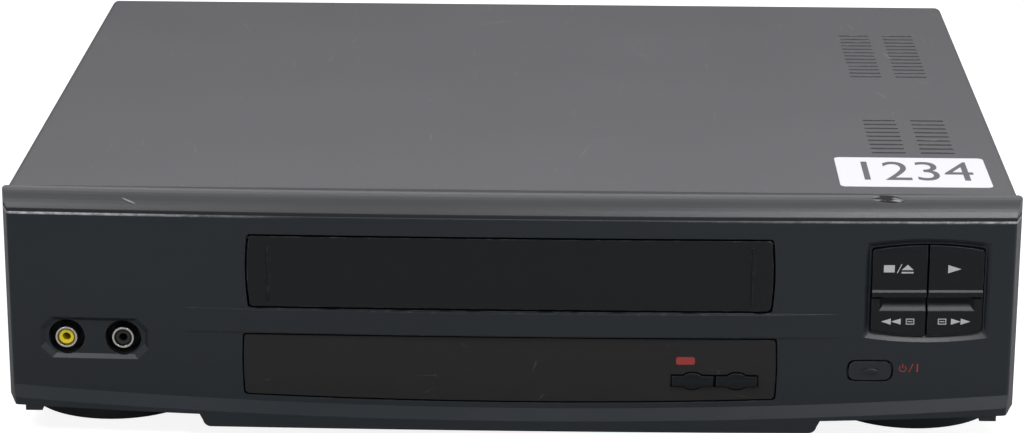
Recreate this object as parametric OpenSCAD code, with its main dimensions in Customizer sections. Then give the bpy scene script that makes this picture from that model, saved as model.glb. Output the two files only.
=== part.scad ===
// Front-loading video cassette recorder, in millimetres.
// The floor is z = 0, x runs to the right seen from the front, y runs to the rear,
// and the origin lies on the floor under the middle of the recorder.

/* [Case] */
// Width of the front panel at its back edge
panel_w = 380; // [374:1:400]
// Height from the floor to the top of the cover
case_h = 95; // [94:0.5:110]
// Depth of the steel cover
cover_d = 286; // [282:1:330]
// Thickness of the cover's sheet steel
cover_t = 1.2; // [0.8:0.1:1.6]
// How far the cover's sides lie inside the panel's widest edge
cover_inset = 1.5; // [0.5:0.1:2.5]
// How far the rear panel is set in from the cover's back edge
rear_inset = 4; // [2:0.5:7]
// How far the aerial sockets reach past the cover's back edge
socket_proud = 4; // [2:0.5:6]
// Thickness of the rear panel
rear_t = 1; // [0.8:0.1:1.6]
// How far the base tray lies inside the cover's sides
tray_inset = 5.5; // [4.5:0.5:8]
// Thickness of the base tray's floor and walls
tray_t = 2; // [1.6:0.1:2.6]
// Height of the base tray's side walls
tray_wall_h = 21; // [17:1:30]
// Height of the feet
foot_h = 8.6; // [7.5:0.1:9.5]
// Radius of a foot where it meets the tray
foot_r = 36; // [24:1:37]
// Distance of the feet from the middle of the recorder
foot_x = 154; // [145:1:156]

/* [Cover slots] */
// Distance of the slot groups' outer ends from the cover's side edge
slots_side = 18; // [14:1:26]
// Length of a slot
slot_len = 13.4; // [10:0.1:14]
// Width of a slot
slot_w = 2; // [1.4:0.1:2.6]
// Pitch of the slots
slot_pitch = 5.65; // [4.5:0.05:7]
// Distance between the two columns of slots
slot_columns = 19; // [17:0.5:22]
// Distance of the front groups from the cover's front edge
slots_front = 54; // [40:1:60]
// Distance of the rear groups from the cover's front edge
slots_rear = 166; // [150:1:170]
// Slots in each front column
front_rows = 9; // [6:1:10]
// Slots in each rear column
rear_rows = 13; // [9:1:14]

/* [Front panel] */
// How far the middle of the front stands ahead of its ends
panel_bow = 3.5; // [2.5:0.5:5]
// Wall of the front panel
panel_t = 2.6; // [2.4:0.1:3]
// Radius of the panel's upright corners
panel_corner_r = 1.6; // [1:0.1:4]
// Radius of the panel's two top corners, seen from the front
panel_top_r = 1.7; // [1:0.1:2.4]
// How much narrower each side of the panel is at its face
panel_taper = 2.6; // [1:0.1:4]
// How far the rolled top edge reaches ahead of the cover
roll_reach = 9.4; // [8:0.1:12]
// How far the rolled top edge drops
roll_drop = 7.7; // [6:0.1:9]
// How far the lower lip reaches ahead of the face
lip_out = 2.5; // [1.5:0.1:3.5]
// Height at which the lip's sloping top meets the middle of the face
lip_z = 13.4; // [12.4:0.1:14]
// Fall of the lip's top for each millimetre forward
lip_fall = 1.8; // [1.2:0.1:2.2]
// Height of the panel's lower edge at its ends
panel_low = 12.3; // [11.5:0.1:13.5]
// How much lower this edge hangs in the middle
edge_sag = 3.9; // [3:0.1:4.5]
// Width of the chin below the lip
chin_w = 233; // [200:1:260]
// Height of the chin's lower edge
chin_z = 5; // [4:0.1:6.5]
// How far the ridge between door and window stands proud in the middle
ridge_out = 1.1; // [0.6:0.1:1.4]
// Distance from the middle at which the ridge runs out into the face
ridge_half = 125; // [115:1:130]

/* [Cassette door] */
// Width of the door at its top and bottom edges
door_w = 193.6; // [193:0.2:196]
// Height of the door
door_h = 27.3; // [27:0.1:28.5]
// Height of the door's lower edge
door_z = 52.5; // [51.5:0.1:53.5]
// Thickness of the door
door_t = 2.4; // [2.2:0.1:2.6]
// Gap round the door
door_gap = 0.8; // [0.5:0.05:0.9]
// How far the sides of door and window bulge at half height
side_bulge = 0.9; // [0:0.1:1.2]
// Distance of the door's upright ribs from its sides
rib_in = 6.8; // [5:0.1:12]
// Width of a door rib
rib_w = 1.6; // [1:0.1:2.2]
// Radius of the door's hinge pins
door_pin_r = 0.8; // [0.6:0.05:0.9]

/* [Window] */
// Width of the display window
window_w = 197.8; // [196:0.2:200]
// Height of the window's side edges
window_h = 23; // [21:0.5:23.5]
// Height of the window's lower corners
window_z = 18; // [17:0.1:18.6]
// How much lower the window's bottom edge hangs in the middle
window_sag = 1.7; // [0.5:0.1:2]
// Thickness of the window
window_t = 2; // [1.6:0.1:2.2]
// Distance of the record key from the middle
record_x = 68.5; // [60:0.5:72]
// Distance of the channel rocker from the middle
rocker_x = 85; // [83:0.5:87]
// Height of the record key and the channel rocker
control_z = 24.8; // [24:0.1:26]
// Length of each control's wings, tip to tip
control_w = 15.4; // [12:0.1:15.8]
// Height of each control's wings
control_h = 3.9; // [3:0.1:5]
// Height of each control's rounded middle
bulge_h = 6.3; // [5.6:0.1:7]

/* [Keys] */
// Distance of the four-key block's middle from the panel's side
keys_side = 35; // [33:0.5:42]
// Width of the four-key block
keys_w = 41.2; // [38:0.2:43]
// Height of the block's lower corners
keys_z = 45.2; // [44:0.2:46]
// Height of the block's side edges
keys_h = 31.3; // [29:0.1:32]
// How far the block's top and bottom edges arch outward
keys_arch = 1.7; // [0:0.1:2.2]
// Height of the gap between the two rows of keys above the lower corners
keys_split = 12.9; // [11:0.1:14.5]
// Gap between keys
key_gap = 0.8; // [0.5:0.1:1]
// Travel of every key
key_travel = 0.8; // [0.4:0.1:1]
// Distance of the standby key's middle from the panel's side
standby_side = 55.3; // [50:0.1:60]
// Height of the middle of the standby key
standby_z = 29.2; // [27:0.1:31]
// Width of the standby key
standby_w = 14.1; // [12:0.1:16]
// Height of the standby key
standby_h = 7; // [6:0.1:8]

/* [Front sockets] */
// Distance of the pair's middle from the panel's side
jack_side = 34.3; // [32:0.1:40]
// Distance between the two sockets
jack_pitch = 21.3; // [19:0.1:23]
// Height of the sockets
jack_z = 38.5; // [36:0.1:42]
// Radius of a socket's metal shell
jack_r = 4.05; // [3.8:0.05:4.3]
// Wall of a socket's metal shell
shell_t = 0.7; // [0.5:0.05:0.9]
// Radius of the round hole in the panel
jack_hole_r = 6.8; // [6:0.1:7.4]

/* [Carriage] */
// Width of a cassette
cassette_w = 188; // [186:0.5:188.5]
// Depth of a cassette
cassette_d = 104; // [100:0.5:104]
// Height of a cassette
cassette_h = 25; // [24.5:0.1:25.2]
// Play between cassette and holder on each side
cassette_play = 0.9; // [0.5:0.1:1]
// Travel of the holder to the rear
load_in = 40; // [34:0.5:41]
// Travel of the holder down to the reels
load_drop = 20; // [18:0.2:20.4]
// Sheet of the holder, the slides and the side plates
sheet_t = 1.2; // [1:0.1:1.4]
// Clearance between sliding sheets
slide_gap = 0.6; // [0.3:0.05:0.8]
// Teeth of each carriage pinion
pinion_teeth = 12; // [10:1:12]
// Size of the carriage teeth, pitch diameter for each tooth
rack_module = 1; // [0.9:0.05:1]

/* [Transport] */
// Thickness of the deck plate
deck_t = 1.5; // [1.2:0.1:2]
// Radius of the head drum
drum_r = 31; // [28:0.5:31]
// Height of each half of the drum
drum_half_h = 17; // [14:0.5:18]
// Lean of the drum
drum_lean = 5.5; // [0:0.5:6]
// Distance between the two reels
reel_pitch = 92; // [90:0.5:94]
// Radius of a reel table
reel_r = 22; // [20:0.5:22.5]
// Radius of the capstan shaft
capstan_r = 2; // [1.5:0.1:2.5]
// Radius of the flywheel
flywheel_r = 26; // [22:0.5:27]
// Radius of the pinch roller
pinch_r = 7; // [6:0.5:7.5]
// Angle that the guide bases travel round the drum
guide_sweep = 80; // [60:1:82]
// Angle that the reel idler arm swings to each side
idler_swing = 30; // [24:1:32]
// Teeth of the loading cam wheel
cam_teeth = 40; // [36:2:42]
// Teeth of the loading pinion
drive_teeth = 10; // [9:1:12]

/* [Hidden] */
$fn = 48;
eps = 0.01;

half_w = panel_w / 2;
keys_x = half_w - keys_side;
standby_x = half_w - standby_side;
jack_x = half_w - jack_side;
rib_x = door_w / 2 - rib_in;
cover_x = half_w - cover_inset;
length_d = roll_reach + panel_bow + lip_out + cover_d + socket_proud;
face_mid_y = lip_out - length_d / 2;
cover_y0 = face_mid_y + panel_bow + roll_reach;
cover_y1 = cover_y0 + cover_d;
cover_under = case_h - cover_t;
rear_y = cover_y1 - rear_inset;
bow_r = (half_w * half_w + panel_bow * panel_bow) / (2 * panel_bow);
bow_fn = 1440;

tray_x = cover_x - tray_inset;
tray_y0 = cover_y0 + 2;
floor_z = foot_h + tray_t;

hinge_drop = 0.8;
hinge_in = 1.5;
hinge_y = face_mid_y + 0.9 + hinge_in;
hinge_z = door_z + door_h - hinge_drop;

run_fit = 0.05;
flat_gap = 0.3;

// The cassette lies just below the opened door, and everything under it hangs on that height.
cassette_z = hinge_z - hinge_in - cassette_h - 0.2;
holder_y0 = hinge_y + door_h + 6;
holder_half = cassette_w / 2 + cassette_play;
holder_x = holder_half + sheet_t;
holder_top = cassette_z + cassette_h + cassette_play;
slide_x = holder_x + 3;
plate_x = slide_x + sheet_t + slide_gap;
deck_x = plate_x + sheet_t + 5;
cassette_stand = 5.2;
deck_z = cassette_z - load_drop - cassette_stand;
deck_y0 = holder_y0 - 5;

drum_y = holder_y0 + cassette_d + load_in + 12 + drum_r;
deck_y1 = drum_y + drum_r + 9;
reel_y = holder_y0 + load_in + cassette_d / 2 - 3;
reel_x = reel_pitch / 2;

board_t = 1.6;
board_z = floor_z + 6;
front_board_y = tray_y0 + 4;

// Points along an arc of radius r from angle a0 to angle a1.
function arc(x, y, r, a0, a1, n = 6) =
  [for (i = [0:n]) let (a = a0 + (a1 - a0) * i / n) [x + r * cos(a), y + r * sin(a)]];

// Where the bowed face lies at a distance from the middle.
function face_y(x) = face_mid_y + bow_r - sqrt(bow_r * bow_r - x * x);

// A rectangle whose sides bulge, with small rounded corners.
function pillow(x0, z0, x1, z1, side = 0, bottom = 0, top = 0, corner = 0.8, n = 10) =
  let (w = x1 - x0, h = z1 - z0, cx = 2 * corner / w, cz = 2 * corner / h,
       tx = [for (i = [0:n]) (1 - cx) * (2 * i / n - 1)],
       tz = [for (i = [0:n]) (1 - cz) * (2 * i / n - 1)])
  concat([for (t = tx) [(x0 + x1) / 2 + t * w / 2, z0 - bottom * (1 - t * t)]],
         [for (t = tz) [x1 + side * (1 - t * t), (z0 + z1) / 2 + t * h / 2]],
         [for (t = tx) [(x0 + x1) / 2 - t * w / 2, z1 + top * (1 - t * t)]],
         [for (t = tz) [x0 - side * (1 - t * t), (z0 + z1) / 2 - t * h / 2]]);

// Extrudes an outline drawn as the front view shows it, from y0 back to y1.
module front_prism(y0, y1) {
  translate([0, y1, 0]) rotate([90, 0, 0]) linear_extrude(y1 - y0) children();
}

// Extrudes an outline drawn in y and z, from x0 to x1.
module side_prism(x0, x1) {
  translate([x0, 0, 0]) rotate([90, 0, 90]) linear_extrude(x1 - x0) children();
}

// Extrudes an outline seen from above, from z0 up to z1.
module plan_prism(z0, z1) {
  translate([0, 0, z0]) linear_extrude(z1 - z0) children();
}

// Sweeps a section along the bow of the front: its points are [ahead of the face, height].
module along_bow(section, radius = bow_r, ahead = 0, reach = half_w) {
  span = 2 * asin((reach + 1) / radius);
  translate([0, face_mid_y - ahead + radius, 0])
    rotate([0, 0, 270 - span / 2])
      rotate_extrude(angle = span, $fn = bow_fn)
        polygon([for (p = section) [radius + p[0], p[1]]]);
}

// Puts pieces on the face at a distance from the middle, turned as the bow is there.
module at_face(x) {
  translate([x, face_y(x), 0]) rotate([0, 0, asin(x / bow_r)]) children();
}

module mirror_x() {
  children();
  mirror([1, 0, 0]) children();
}

// A straight slot with round ends, centred, lying along x.
module slot(len, w) {
  square([len - w, w], center = true);
  for (s = [-1, 1]) translate([s * (len - w) / 2, 0]) circle(d = w, $fn = 24);
}

module tube(r_out, r_in, h) {
  difference() {
    cylinder(r = r_out, h = h);
    translate([0, 0, -1]) cylinder(r = r_in, h = h + 2);
  }
}

// A screw with a pan head and a cross recess, its head seated at z = 0, pointing down.
module pan_screw(r, len) {
  head_r = 1.9 * r;
  head_h = 0.9 * r;
  difference() {
    union() {
      cylinder(r = head_r, h = head_h, $fn = 24);
      translate([0, 0, -len]) cylinder(r = r, h = len + eps, $fn = 24);
    }
    for (a = [0, 90])
      rotate([0, 0, a]) translate([0, 0, head_h]) cube([1.4 * head_r, 0.6, head_h], center = true);
  }
}

// Base tray: floor with air slots, walls, ribs, and the posts that the boards and the deck stand on.
deck_post_x = deck_x - 7;
deck_posts = [for (x = [-deck_post_x, deck_post_x], y = [deck_y0 + 7, deck_y1 - 7]) [x, y]];
power_x0 = deck_x + 4;
power_x1 = tray_x - tray_t - 1;
power_y0 = -50;
power_y1 = rear_y - 3;
main_x1 = -power_x0;
main_x0 = -power_x1;
main_y0 = deck_y0 + 4;
main_y1 = rear_y - 2;
strip_y0 = deck_y1 + 5;
strip_x1 = deck_x - 6;
board_posts = [[main_x0 + 6, main_y0 + 6], [main_x1 - 6, main_y0 + 6], [main_x0 + 6, 10],
               [main_x1 - 6, 10], [main_x0 + 6, main_y1 - 6], [strip_x1 - 6, main_y1 - 6],
               [power_x0 + 6, power_y0 + 6], [power_x1 - 6, power_y0 + 6],
               [power_x0 + 6, power_y1 - 6], [power_x1 - 6, power_y1 - 6]];
screw_r = 1.5;
cover_screw_z = foot_h + tray_wall_h - 7;
cover_screw_y = [cover_y0 + 45, cover_y1 - 45];

module base_tray() {
  color("#2b2d31")
  difference() {
    union() {
      translate([-tray_x, tray_y0, foot_h]) cube([2 * tray_x, rear_y - tray_y0, tray_t]);
      mirror_x() {
        translate([tray_x - tray_t, tray_y0, foot_h])
          cube([tray_t, rear_y - rear_t - tray_y0, tray_wall_h]);
        for (y = cover_screw_y)
          translate([tray_x - 8, y - 5, foot_h + tray_t - eps])
            cube([8, 10, cover_screw_z - foot_h + 3]);
      }
      translate([-tray_x, tray_y0, foot_h]) cube([2 * tray_x, tray_t, 5]);
      // Tabs under the ends of the front panel.
      mirror_x() translate([tray_x - 6.3, face_y(tray_x) + 1, foot_h])
        cube([6.3, tray_y0 - face_y(tray_x), low_edge(tray_x - 6.3) - foot_h - 0.3]);
      translate([-tray_x, rear_y - 8, foot_h]) cube([2 * tray_x, 1.6, 6]);
      for (y = [tray_y0 + 60, capstan_y + 26, drum_y + 12])
        translate([-tray_x, y, foot_h]) cube([2 * tray_x, 1.4, tray_t + 2.4]);
      for (p = deck_posts)
        translate([p[0], p[1], foot_h]) cylinder(r = 4, h = deck_z - deck_t - foot_h);
      for (p = board_posts)
        translate([p[0], p[1], foot_h]) cylinder(r = 3, h = board_z - foot_h);
      for (x = [-160, -70, 70, 160])
        translate([x * tray_x / 183 - 5, front_board_y - 2, foot_h]) cube([10, board_t + 4, 5]);
    }
    for (p = deck_posts)
      translate([p[0], p[1], floor_z + 1]) cylinder(r = screw_r + run_fit, h = case_h);
    for (s = [-1, 1], y = cover_screw_y)
      translate([s * (tray_x - 4), y, cover_screw_z])
        rotate([0, 90, 0]) cylinder(r = screw_r + run_fit, h = 20, center = true);
    for (x = [-160, -70, 70, 160])
      translate([x * tray_x / 183 - 6, front_board_y, floor_z + 1]) cube([12, board_t + 0.1, 20]);
    // Air slots under the power supply and under the transport.
    for (i = [0:9], x = [power_x0 + 17, power_x1 - 17])
      translate([x, power_y0 + 22 + 14 * i, 0]) plan_prism(foot_h - 1, floor_z + 1) slot(22, 3);
    for (i = [-4:4])
      translate([12 * i, drum_y - 50, 0]) plan_prism(foot_h - 1, floor_z + 1)
        rotate(90) slot(36, 3);
  }
}

module foot() {
  rotate_extrude($fn = 96)
    polygon([[0, 0], [foot_r - 2, 0], [foot_r - 1.2, 0.6], [foot_r - 0.5, foot_h - 1.6],
             [foot_r, foot_h], [0, foot_h]]);
}

foot_ys = [tray_y0 + foot_r + 1, rear_y - foot_r - 8];

module feet() {
  color("#1c1d1f")
  intersection() {
    union()
      for (s = [-1, 1], y = foot_ys) translate([s * foot_x, y, 0]) foot();
    translate([-tray_x + 0.5, tray_y0, 0]) cube([2 * tray_x - 1, rear_y - tray_y0, case_h]);
  }
}

// Steel cover: an inverted U with folded lower flanges, a rear lip and four groups of air slots.
function cover_outline(t) =
  let (r = 3 - t, x = cover_x - t, z = case_h - t)
  concat([[x, foot_h + 3.6]], arc(x - r, z - r, r, 0, 90), arc(r - x, z - r, r, 90, 180),
         [[-x, foot_h + 3.6]]);

module cover_screw_places() {
  for (s = [-1, 1], y = cover_screw_y)
    translate([s * cover_x, y, cover_screw_z]) rotate([0, 90 * s, 0]) children();
}

module top_cover() {
  color("#6c6d71")
  difference() {
    union() {
      difference() {
        front_prism(cover_y0, cover_y1) polygon(cover_outline(0));
        front_prism(cover_y0 - 1, cover_y1 + 1) polygon(cover_outline(cover_t));
        translate([-cover_x, cover_y0 - 1, foot_h + 3]) cube([2 * cover_x, cover_d + 2, 0.7]);
      }
      mirror_x()
        translate([tray_x + 0.3, cover_y0 + 12, foot_h + 3.7])
          cube([cover_x - tray_x - 0.4, cover_d - 24, cover_t]);
      translate([3 - cover_x, cover_y1 - cover_t, case_h - 5]) cube([2 * cover_x - 6, cover_t, 5 - eps]);
    }
    slot_groups() slot(slot_len, slot_w);
    cover_screw_places() cylinder(r = screw_r + 0.2, h = 10, center = true, $fn = 24);
  }
  color("#8a8c90")
    cover_screw_places() pan_screw(screw_r, cover_x - tray_x + 5);
}

module slot_groups() {
  for (column = [0, 1], group = [[slots_front, front_rows], [slots_rear, rear_rows]], i = [0:group[1] - 1])
    translate([cover_x - slots_side - slot_len / 2 - column * slot_columns,
               cover_y0 + group[0] + i * slot_pitch, 0])
      plan_prism(cover_under - 1, case_h + 1) children();
}

// Front panel: a bowed shell with a rolled top edge, end walls, lip, chin and a ridge.
roll_turn = 22;
roll_chord = norm([roll_reach, roll_drop]);
roll_r = roll_chord / (2 * sin(roll_turn));
roll_dir = atan2(roll_reach, roll_drop);
roll_c = [-roll_reach / 2 - cos(roll_dir) * roll_r * cos(roll_turn),
          case_h - roll_drop / 2 - sin(roll_dir) * roll_r * cos(roll_turn)];
panel_back = roll_reach + panel_bow + 1;
edge_z = case_h - roll_drop;
seam = 0.04;

function roll(t) = arc(roll_c[0], roll_c[1], roll_r - t, roll_dir + roll_turn, roll_dir - roll_turn, 9);

// The panel's side section as a solid, inset by t and reaching past its back and foot by e.
function panel_section(t, e) =
  concat([[-panel_back - e, case_h - t]], roll(t),
         [[-t, case_h - roll_drop - t * 0.7], [-t, -e], [-panel_back - e, -e]]);

// The right corner seen from above, inset by t and moved ahead along the tapering side.
corner_x = half_w - panel_taper - panel_corner_r;

function panel_corner(t, ahead) =
  let (r = max(panel_corner_r - t, 0.3), x = half_w - panel_taper - t - r, y = face_y(x) + t + r)
  concat(arc(x - ahead * panel_taper / (cover_y0 - y), y - ahead, r, -90, 0),
         [[half_w - t, cover_y0 + (t > 1 ? 1 : 0)]]);

function mirrored(points) = [for (i = [len(points) - 1:-1:0]) [-points[i][0], points[i][1]]];

// The panel's sides and corners, open towards the front.
function plan_sides(t, ahead) =
  let (h = concat([[panel_corner(t, ahead)[0][0], face_mid_y - 12]], panel_corner(t, ahead)))
  concat(h, mirrored(h));

// The whole outline with its bowed front, inset by t and with its front moved ahead.
function bow_line(reach, t, n = 14) = [for (i = [-n:n]) [reach * i / n, face_y(reach * i / n) + t]];

function plan_outline(t, ahead = 0) =
  let (c = panel_corner(t, ahead), h = [for (i = [1:len(c) - 1]) c[i]])
  concat(bow_line(c[0][0], t - ahead), h, mirrored(h));

function low_edge(x) = panel_low - edge_sag * (1 - x * x / (half_w * half_w));

// The panel's lower outline in the front view: the sagging edge, with the chin below its middle.
function foot_line(chin) =
  let (r = 3, x = chin_w / 2 - r - 1.2, w = half_w + 5)
  concat([for (i = [-4:0]) let (q = chin_w / 2 + (w - chin_w / 2) * -i / 4) [-q, low_edge(q)]],
         chin ? concat(arc(-x, chin_z + r, r, 190, 270), arc(x, chin_z + r, r, -90, -10))
        : [for (i = [-7:7]) [i * chin_w / 16, low_edge(i * chin_w / 16)]],
   [for (i = [0:4]) let (q = chin_w / 2 + (w - chin_w / 2) * i / 4) [q, low_edge(q)]]);

module below_edge(chin) {
  front_prism(face_mid_y - 20, cover_y0 + 20)
    polygon(concat(foot_line(chin), [[half_w + 5, -5], [-half_w - 5, -5]]));
}

module under_lip_plane() {
  side_prism(-half_w, half_w)
    polygon([[face_mid_y - 5, lip_z - 5 * lip_fall], [face_mid_y + 9, lip_z + 9 * lip_fall],
             [face_mid_y + 9, -10], [face_mid_y - 5, -10]]);
}

// A band seen from above, between two distances ahead of the face.
module bow_band(back, front, reach) {
  polygon(concat(bow_line(reach, -front), mirrored(bow_line(reach, -back))));
}

// The top edge, rolled from the cover down to the crisp edge over the face.
module rolled_edge() {
  intersection() {
    along_bow(panel_section(0, 0), ahead = -seam);
    plan_prism(edge_z - 0.3, case_h + 1) polygon(plan_sides(seam, 0));
  }
}

// The hollow behind the face, up to the rolled edge and under it.
module panel_hollow() {
  plan_prism(-1, edge_z - 0.5) polygon(plan_outline(panel_t));
  intersection() {
    along_bow(panel_section(panel_t - 0.3, 1), ahead = -seam);
    plan_prism(edge_z - 1.2, case_h) polygon(plan_sides(panel_t + seam, -panel_t));
  }
}

module lip() {
  intersection() {
    plan_prism(2, 40) polygon(plan_outline(seam, lip_out));
    under_lip_plane();
  }
}

// A raised band that fades into the face at both ends, because it is bowed more than the face.
// Its edges are stepped back a little.
module band(z0, z1, out, reach) {
  for (k = [0:2]) {
    p = out * (1 - 0.25 * k * k);
    lift = p + reach * reach / (2 * bow_r);
    r = reach * reach / (2 * lift);
    xs = [for (i = [-14:14]) reach * i / 14];
    plan_prism(z0 - 0.35 * k, z1 + 0.35 * k)
      polygon(concat([for (x = xs) [x, face_mid_y - p + r - sqrt(r * r - x * x)]],
                     mirrored(bow_line(reach, 6))));
  }
}

function door_outline(g) = pillow(-door_w / 2 - g, door_z - g, door_w / 2 + g, door_z + door_h + g,
                                  side = side_bulge);

function window_outline(g) = pillow(-window_w / 2 - g, window_z - g, window_w / 2 + g,
                  window_z + window_h + g, side = side_bulge / 2, bottom = window_sag);

function keys_outline(g) = pillow(-keys_w / 2 - g, keys_z - g, keys_w / 2 + g, keys_z + keys_h + g,
                                  bottom = keys_arch, top = keys_arch, corner = 0.6);

function standby_outline(g) = pillow(-standby_w / 2 - g, standby_z - standby_h / 2 - g,
                                     standby_w / 2 + g, standby_z + standby_h / 2 + g,
                                     side = 0.9 + g * 0.4, bottom = 0.2, top = 0.2, corner = 0.9);

// A shallow bezel that slopes in from an outline at the face to a smaller one.
module sloped_recess(depth) {
  hull() {
    front_prism(-1, 0) children(0);
    front_prism(depth - 0.1, depth) children(1);
  }
}

recess_d = 1.4;
jack_recess_w = jack_pitch + 19.6;
jack_recess_h = 16.3;

module jack_recess_outline(g) {
  polygon(pillow(-jack_recess_w / 2 - g, jack_z - jack_recess_h / 2 - g, jack_recess_w / 2 + g,
                 jack_z + jack_recess_h / 2 + g, corner = 4.2, n = 1));
}

tongue_in = cover_t + 0.2;
tongue_t = 1.8;

// The face with its lip, chin, ridge and rolled edge, hollowed from behind.
module panel_body() {
  difference() {
    union() {
      rolled_edge();
      plan_prism(0, edge_z) polygon(plan_outline(0));
      lip();
      band(window_z + window_h + 1.3, door_z - 1.4, ridge_out, ridge_half);
    }
    panel_hollow();
    below_edge(true);
    // The chin is set back a little under the lip.
    intersection() {
      below_edge(false);
      plan_prism(-1, 20) bow_band(lip_out - 0.5, lip_out + 3, chin_w / 2 + 2);
    }
  }
}

module front_panel() {
  color("#2c2f34")
  difference() {
    union() {
      panel_body();
      // Tongues that hold the cover's front edge, along the top and down both sides.
      translate([12 - cover_x, cover_y0 - 3, cover_under - 0.2 - tongue_t])
        cube([2 * cover_x - 24, 11, tongue_t]);
      mirror_x()
        plan_prism(panel_low + 4, cover_under - 6)
          polygon([[cover_x - tongue_in, cover_y0 + 8], [cover_x - tongue_in, cover_y0],
                   [cover_x + 0.2, cover_y0], [cover_x + 0.2, cover_y0 - 3],
                   [cover_x - tongue_in - tongue_t, cover_y0 - 3],
                   [cover_x - tongue_in - tongue_t, cover_y0 + 8]]);
    }
    mirror_x()
      front_prism(face_mid_y - 5, cover_y0 + 1)
        polygon(concat(arc(half_w - panel_top_r, case_h - panel_top_r, panel_top_r, 90, 0, 4),
                       [[half_w + 1, case_h - panel_top_r], [half_w + 1, case_h + 1],
                        [half_w - panel_top_r, case_h + 1]]));
    front_prism(face_mid_y - 10, face_mid_y + 12) polygon(door_outline(door_gap));
    front_prism(face_mid_y - 10, face_mid_y + 12) polygon(window_outline(0.8));
    translate([0, hinge_y, hinge_z])
      rotate([0, 90, 0]) cylinder(r = door_pin_r + run_fit, h = door_w + 5, center = true, $fn = 24);
    at_face(keys_x) {
      front_prism(-4, 8) polygon(keys_outline(key_gap * 0.7));
      sloped_recess(recess_d) {
        polygon(keys_outline(3));
        polygon(keys_outline(key_gap * 0.7 + 0.5));
      }
    }
    at_face(standby_x) front_prism(-4, 8) polygon(standby_outline(0.6));
    at_face(-jack_x) {
      sloped_recess(recess_d) {
        jack_recess_outline(0);
        jack_recess_outline(-1.6);
      }
      for (s = [-1, 1])
        translate([s * jack_pitch / 2, -4, jack_z]) rotate([-90, 0, 0]) cylinder(r = jack_hole_r, h = 12);
    }
  }
}

// Cassette door: a bowed flap with a round top edge, hinge pins and two upright ribs.
module cassette_door() {
  color("#24272b")
  union() {
    intersection() {
      along_bow([[-door_t, 0], [0, 0], [0, case_h], [-door_t, case_h]], reach = door_w / 2 + 4);
      front_prism(face_mid_y - 10, face_mid_y + 12) polygon(door_outline(0));
    }
    for (s = [-1, 1])
      intersection() {
        translate([s * rib_x, face_y(rib_x), door_z + door_h / 2])
          rotate([0, 0, 45]) cube([rib_w * 0.7, rib_w * 0.7, door_h - 5], center = true);
        translate([0, face_mid_y - 4, 0]) translate([-half_w, 0, 0]) cube([panel_w, 6, case_h]);
      }
    translate([0, hinge_y, hinge_z])
      rotate([0, 90, 0])
        cylinder(r = door_pin_r, h = door_w + 4, center = true, $fn = 24);
  }
}

// Display window: one bowed smoked sheet, cut out round the two controls.
bulge_half_w = 5;
bulge_r = (bulge_half_w * bulge_half_w + bulge_h * bulge_h / 4) / bulge_h;

module control_outline(g) {
  square([control_w + 2 * g, control_h + 2 * g], center = true);
  intersection() {
    translate([0, bulge_h / 2 - bulge_r]) circle(r = bulge_r + g);
    translate([0, bulge_r - bulge_h / 2]) circle(r = bulge_r + g);
  }
}

module display_window() {
  color("#2a2524")
  difference() {
    intersection() {
      along_bow([[-window_t - 0.2, 0], [-0.2, 0], [-0.2, case_h], [-window_t - 0.2, case_h]],
                reach = window_w / 2 + 4);
      front_prism(face_mid_y - 10, face_mid_y + 12) polygon(window_outline(0.2));
    }
    for (x = [record_x, rocker_x])
      front_prism(face_mid_y - 10, face_mid_y + 12)
        translate([x, control_z]) control_outline(0.5);
    translate([(record_x + rocker_x) / 2, face_mid_y, control_z])
      cube([rocker_x - record_x, 20, control_h + 1], center = true);
  }
}

// Keys. Each cap is cut from the block's outline and profiled seen from the side.
cap_d = 6;
flange_y = panel_t + 0.2;
flange_d = 1.4;
flange_out = 1.3;
switch_d = 5;
switch_w = 6;
switch_tip_y = front_board_y - switch_d;

module key_quarter(column, row, g) {
  split = keys_z + keys_split;
  intersection() {
    polygon(keys_outline(g));
    translate([column > 0 ? key_gap / 2 : -keys_w, row > 0 ? split + key_gap / 2 : keys_z - 10])
      square([keys_w - key_gap / 2, row > 0 ? keys_h : keys_split + 10 - key_gap / 2]);
  }
}

// Where the plunger behind a face place ends: short of its switch by the key's travel.
function plunger_len(x) = switch_tip_y - key_travel - 0.1 - face_y(x);

module plunger(x, z, w) {
  translate([x - w / 2, face_y(x) + cap_d - 1, z - w / 2])
    cube([w, plunger_len(x) - cap_d + 1, w]);
}

hollow_x = keys_w / 2 - 2.4;
module block_key(column, row) {
  split = keys_z + keys_split;
  top = keys_z + keys_h;
  x = keys_x + column * keys_w / 4;
  z = row > 0 ? (split + top) / 2 : (keys_z + split) / 2;
  at_face(keys_x) {
    difference() {
      intersection() {
        front_prism(-2, cap_d) key_quarter(column, row, 0);
        side_prism(-keys_w, keys_w)
          polygon(row > 0
            ? [[cap_d, split - 5], [-0.7, split - 5], [-0.7, split + 2.2], [0, split + 3],
               [0, top - 0.9], [1.3, top + 3], [cap_d, top + 3]]
            : [[cap_d, keys_z - 5], [0, keys_z - 5], [0, split + 5], [cap_d, split + 5]]);
      }
      // The finger hollow along the top of a lower key, with a slanted outer end.
      if (row < 0)
        intersection() {
          translate([0, -5.2, split + 0.3])
            rotate([0, 90, 0]) cylinder(r = 7.6, h = keys_w, center = true, $fn = 64);
          plan_prism(keys_z - 9, split + 9) mirror([column > 0 ? 0 : 1, 0])
            polygon([[-1, -9], [-1, 4], [hollow_x - 3, 4], [hollow_x - 3, 2.6], [hollow_x, -0.4],
                     [hollow_x, -9]]);
        }
    }
    front_prism(flange_y, flange_y + flange_d) key_quarter(column, row, flange_out);
  }
  plunger(x, z, 3.4);
}

module stop_eject_key() { color("#26292d") block_key(-1, 1); }
module play_key() { color("#26292d") block_key(1, 1); }
module rewind_key() { color("#26292d") block_key(-1, -1); }
module fast_forward_key() { color("#26292d") block_key(1, -1); }

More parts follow.
